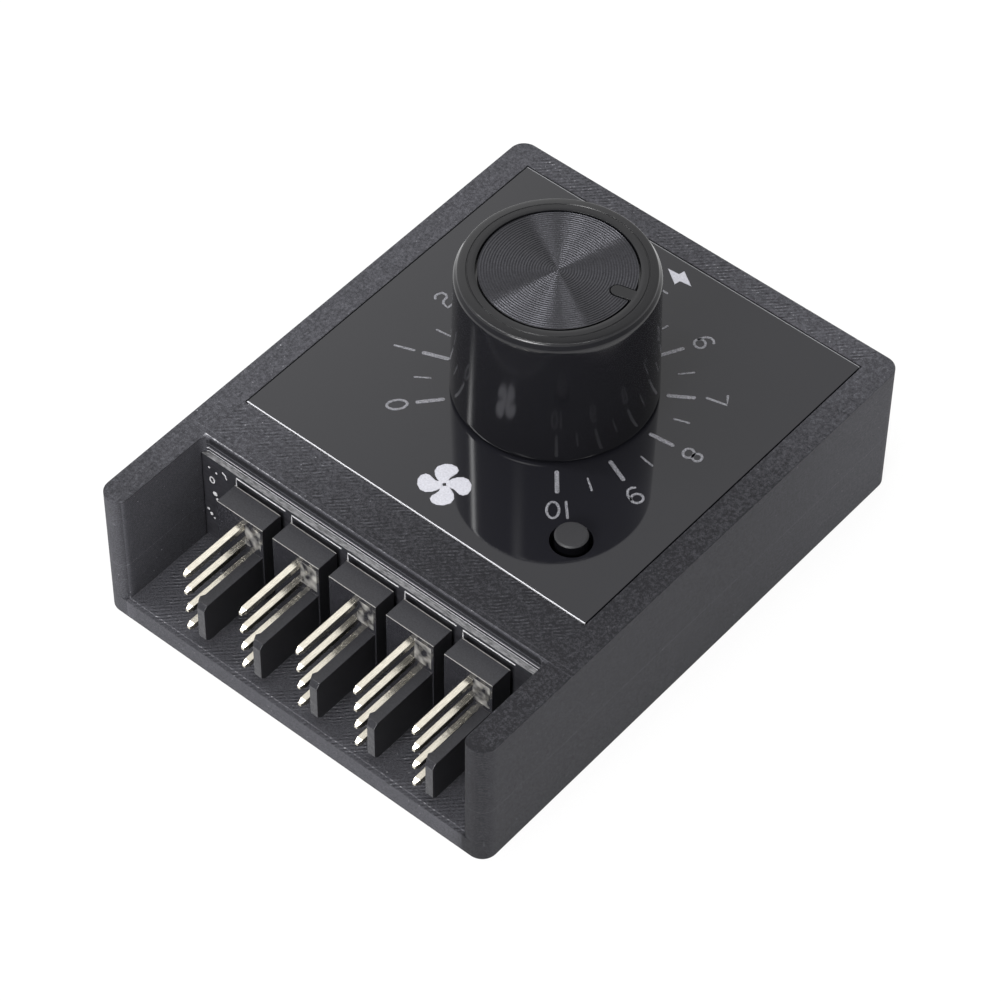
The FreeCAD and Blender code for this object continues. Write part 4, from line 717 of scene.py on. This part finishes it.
def add_digit(form, digit, degrees, radius=DIGIT_RADIUS):
    """Adds a digit at an angle on the dial, its top outwards."""
    onto_dial = (Matrix.Translation((*DIAL_CENTRE, CASE_TOP))
                 @ Matrix.Rotation(math.radians(degrees - 90), 4, "Z") @ Matrix.Translation((0, radius, 0)))
    for points, closed in DIGITS[digit]:
        scaled = [(x * DIGIT_WIDTH, y * (DIGIT_HEIGHT - DIGIT_STROKE) / 2) for x, y in points]
        add_stroke(form, scaled, DIGIT_STROKE, 0, INK, closed, onto_dial)


form = bmesh.new()
long_tick = bmesh.new()
add_stroke(long_tick, [(MAJOR_INNER + MAJOR_STROKE / 2, 0), (TICK_OUTER - MAJOR_STROKE / 2, 0)],
           MAJOR_STROKE, 0, INK)
add_copies(form, long_tick, panel_ink, DIAL_COUNT, (*DIAL_CENTRE, CASE_TOP),
           start=DIAL_START, step=-DIAL_STEP)
short_tick = bmesh.new()
add_stroke(short_tick, [(MINOR_INNER, 0), (TICK_OUTER, 0)], MINOR_STROKE, 0, INK)
add_copies(form, short_tick, panel_ink, DIAL_COUNT - 1, (*DIAL_CENTRE, CASE_TOP),
           start=DIAL_START - DIAL_STEP / 2, step=-DIAL_STEP)
for number in range(DIAL_COUNT - 1):
    radius = LOW_DIGIT_RADIUS if number < 2 else DIGIT_RADIUS
    add_digit(form, str(number), DIAL_START - DIAL_STEP * number, radius)
for digit, degrees in zip("10", TEN_ANGLES):
    add_digit(form, digit, degrees)
finished("dial_print", mesh_of("dial_print", form), "case", "panel_acrylic", panel_ink)

# Two function symbols: a fan wheel in front and a power bolt at the rear

FAN_CENTRE = (0.25, -8.95)
FAN_TURN = 32.7
BLADES = 4
# One rounded blade, narrow at the hub and swept to one side
BLADE = [(0.2, -0.125), (0.54, -0.33), (0.89, -0.41), (1.21, -0.7), (1.52, -0.99), (1.88, -1.09),
         (2.3, -0.86), (2.53, -0.36), (2.5, 0.31), (2.14, 0.91), (1.61, 1.13), (1.06, 1.03),
         (0.62, 0.79), (0.33, 0.53), (0.125, 0.2)]
BOLT = [(-1.34, 26.0), (0.51, 24.77), (0.62, 25.42), (1.91, 25.59), (0.12, 26.74), (-0.03, 26.1)]
form = bmesh.new()
blade = bmesh.new()
add_plate(blade, BLADE, 0, INK)
add_copies(form, blade, symbol_ink, BLADES, (*FAN_CENTRE, CASE_TOP), start=FAN_TURN, step=360 / BLADES)
add_plate(form, BOLT, CASE_TOP, INK)
finished("function_symbols", mesh_of("function_symbols", form), "case", "panel_acrylic", symbol_ink)

# Legend on the upright board: a line over every header, and a few dots and a ring beside the first

LEGEND = 0.03
LEGEND_STROKE = 0.16
LEGEND_FINE = 0.14
LEGEND_TOP = 13.5
LEGEND_LEFT = 3.45
LEGEND_RIGHT = 2.65
LEGEND_DOTS = [(-19.87, 12.46, 0.13), (-18.96, 12.24, 0.12), (-19.3, 9.05, 0.28), (-19.0, 8.4, 0.2),
               (-20.3, 6.2, 0.16), (-19.95, 5.7, 0.2), (-19.6, 5.3, 0.12)]
LEGEND_RING = arc((-19.57, 10.84), (0.28, 0.38), 0, 340, 17)
LEGEND_HOOK = [(-18.13, 12.94), (-17.8, 12.75), (-17.66, 12.33)]
onto_board = Matrix.Translation((0, BOARD_FRONT, 0)) @ Matrix.Rotation(math.radians(90), 4, "X")
form = bmesh.new()
bracket = bmesh.new()
corner = [(-LEGEND_LEFT, LEGEND_TOP - 1.0), (-LEGEND_LEFT, LEGEND_TOP), (LEGEND_RIGHT, LEGEND_TOP)]
add_stroke(bracket, corner, LEGEND_STROKE, 0, LEGEND, to_world=onto_board)
add_copies(form, bracket, board_ink, HEADER_COUNT, (HEADER_X[0], 0.0, 0.0), pitch=(HEADER_PITCH, 0.0, 0.0))
for x, z, radius in LEGEND_DOTS:
    add_plate(form, arc((x, z), (radius, radius), 0, 330, 11), 0, LEGEND, onto_board)
add_stroke(form, LEGEND_RING, LEGEND_FINE, 0, LEGEND, closed=True, to_world=onto_board)
add_stroke(form, LEGEND_HOOK, LEGEND_FINE, 0, LEGEND, to_world=onto_board)
finished("board_legend", mesh_of("board_legend", form), "case", "circuit_board", board_ink)

# Floor, surroundings and light

FLOOR_HALF = 3000
FLOOR_DROP = 0.02


def camera_white(name):
    """Reads as plain white to the eye and in gloss, and keeps a little of the shadow."""
    material = bpy.data.materials.new(name)
    material.use_nodes = True
    material.node_tree.nodes.clear()
    path = node(material, "LightPath").outputs
    seen = node(material, "Math MAXIMUM", (path["Is Glossy Ray"], path["Is Transmission Ray"]))
    seen = node(material, "Math MAXIMUM", (path["Is Camera Ray"], seen))
    share = node(material, "Math MULTIPLY", (seen, 0.9))
    plain = node(material, "BsdfDiffuse", {"Color": "#f4f4f4"})
    glow = node(material, "Emission", {"Color": "#ffffff", "Strength": 1.0})
    node(material, "OutputMaterial", {"Surface": node(material, "MixShader", (share, plain, glow))})
    return material


form = bmesh.new()
for x, y in ((-1, -1), (1, -1), (1, 1), (-1, 1)):
    form.verts.new((x * FLOOR_HALF, y * FLOOR_HALF, -FLOOR_DROP))
form.faces.new(form.verts)
floor = bpy.data.objects.new("floor", mesh_of("floor", form))
floor.data.materials.append(camera_white("white_floor"))
bpy.context.scene.collection.objects.link(floor)

# The tent is a little brighter low at the rear, which the panel mirrors, and open at its top
world = bpy.data.worlds.new("studio")
bpy.context.scene.world = world
world.use_nodes = True
heading = node(world, "TexCoord").outputs["Generated"]
towards = node(world, "VectorMath DOT_PRODUCT", (heading, (-0.75, 0.45, 0.48)))
upwards = node(world, "SeparateXYZ", (heading,)).outputs["Z"]
rear_glow, wide_glow, opening = (
    node(world, "MapRange", levels, interpolation_type="SMOOTHSTEP")
    for levels in ({"Value": towards, "From Min": 0.892, "From Max": 0.945, "To Min": 0.0, "To Max": 0.6},
                   {"Value": towards, "From Min": 0.2, "From Max": 0.9, "To Min": 0.74, "To Max": 1.06},
                   {"Value": upwards, "From Min": 0.84, "From Max": 0.95, "To Min": 1.0, "To Max": 0.45}))
glow = node(world, "Math MULTIPLY", (node(world, "Math ADD", (rear_glow, wide_glow)), opening))
feed(world.node_tree.nodes["Background"], {"Color": "#ffffff", "Strength": glow})

LAMP_AIM = Vector((*PANEL_CENTRE, 20))


def softbox(name, heading, distance, width, height, power):
    """A lamp that faces the knob, at a distance in millimetres along a heading.

    It fades to its left and right edges, as cloth over a tube does.
    """
    lamp = bpy.data.lights.new(name, "AREA")
    lamp.shape = "RECTANGLE"
    lamp.size = width * MM
    lamp.size_y = height * MM
    lamp.energy = power
    lamp.use_nodes = True
    over = node(lamp, "SeparateXYZ", (node(lamp, "NewGeometry").outputs["Parametric"],)).outputs["X"]
    off = node(lamp, "Math ABSOLUTE", (node(lamp, "Math SUBTRACT", (over, 0.5)),))
    across = {"Value": off, "From Min": 0.5, "From Max": 0.0, "To Min": 0.0, "To Max": 2.0}
    fade = node(lamp, "MapRange", across, interpolation_type="SMOOTHSTEP")
    feed(lamp.node_tree.nodes["Emission"], {"Strength": fade})
    stand = bpy.data.objects.new(name, lamp)
    stand.location = (LAMP_AIM + Vector(heading).normalized() * distance) * MM
    stand.rotation_mode = "QUATERNION"
    stand.rotation_quaternion = Vector(heading).to_track_quat("Z", "Y")
    bpy.context.scene.collection.objects.link(stand)


softbox("front_softbox", (-0.01, -0.45, 0.89), 500, 110, 200, 0.28)
softbox("left_softbox", (-0.356, -0.171, 0.919), 500, 62, 400, 1.3)
softbox("right_softbox", (0.256, 0.012, 0.967), 500, 50, 220, 0.33)
softbox("low_softbox", (0.15, -0.9, 0.41), 700, 600, 220, 4.6)

# Camera, fitted to the photograph's view

CAMERA_PLACE = Vector((159.17, -192.54, 298.78))
CAMERA_RIGHT = Vector((0.76361, 0.64562, 0.00832))
CAMERA_DOWN = Vector((0.49559, -0.57781, -0.64848))
CAMERA_FORWARD = Vector((-0.41387, 0.49931, -0.76119))
scene = bpy.context.scene
scene.view_settings.view_transform = "Standard"
lens = bpy.data.cameras.new("camera")
lens.sensor_width = 36.0
lens.lens = 145.35
lens.clip_start = 0.01
lens.clip_end = 20.0
lens.dof.use_dof = False
camera = bpy.data.objects.new("camera", lens)
scene.collection.objects.link(camera)
scene.camera = camera
camera.location = CAMERA_PLACE * MM
camera.rotation_mode = "QUATERNION"
turned = Matrix((CAMERA_RIGHT, -CAMERA_DOWN, -CAMERA_FORWARD)).transposed()
camera.rotation_quaternion = turned.to_quaternion()
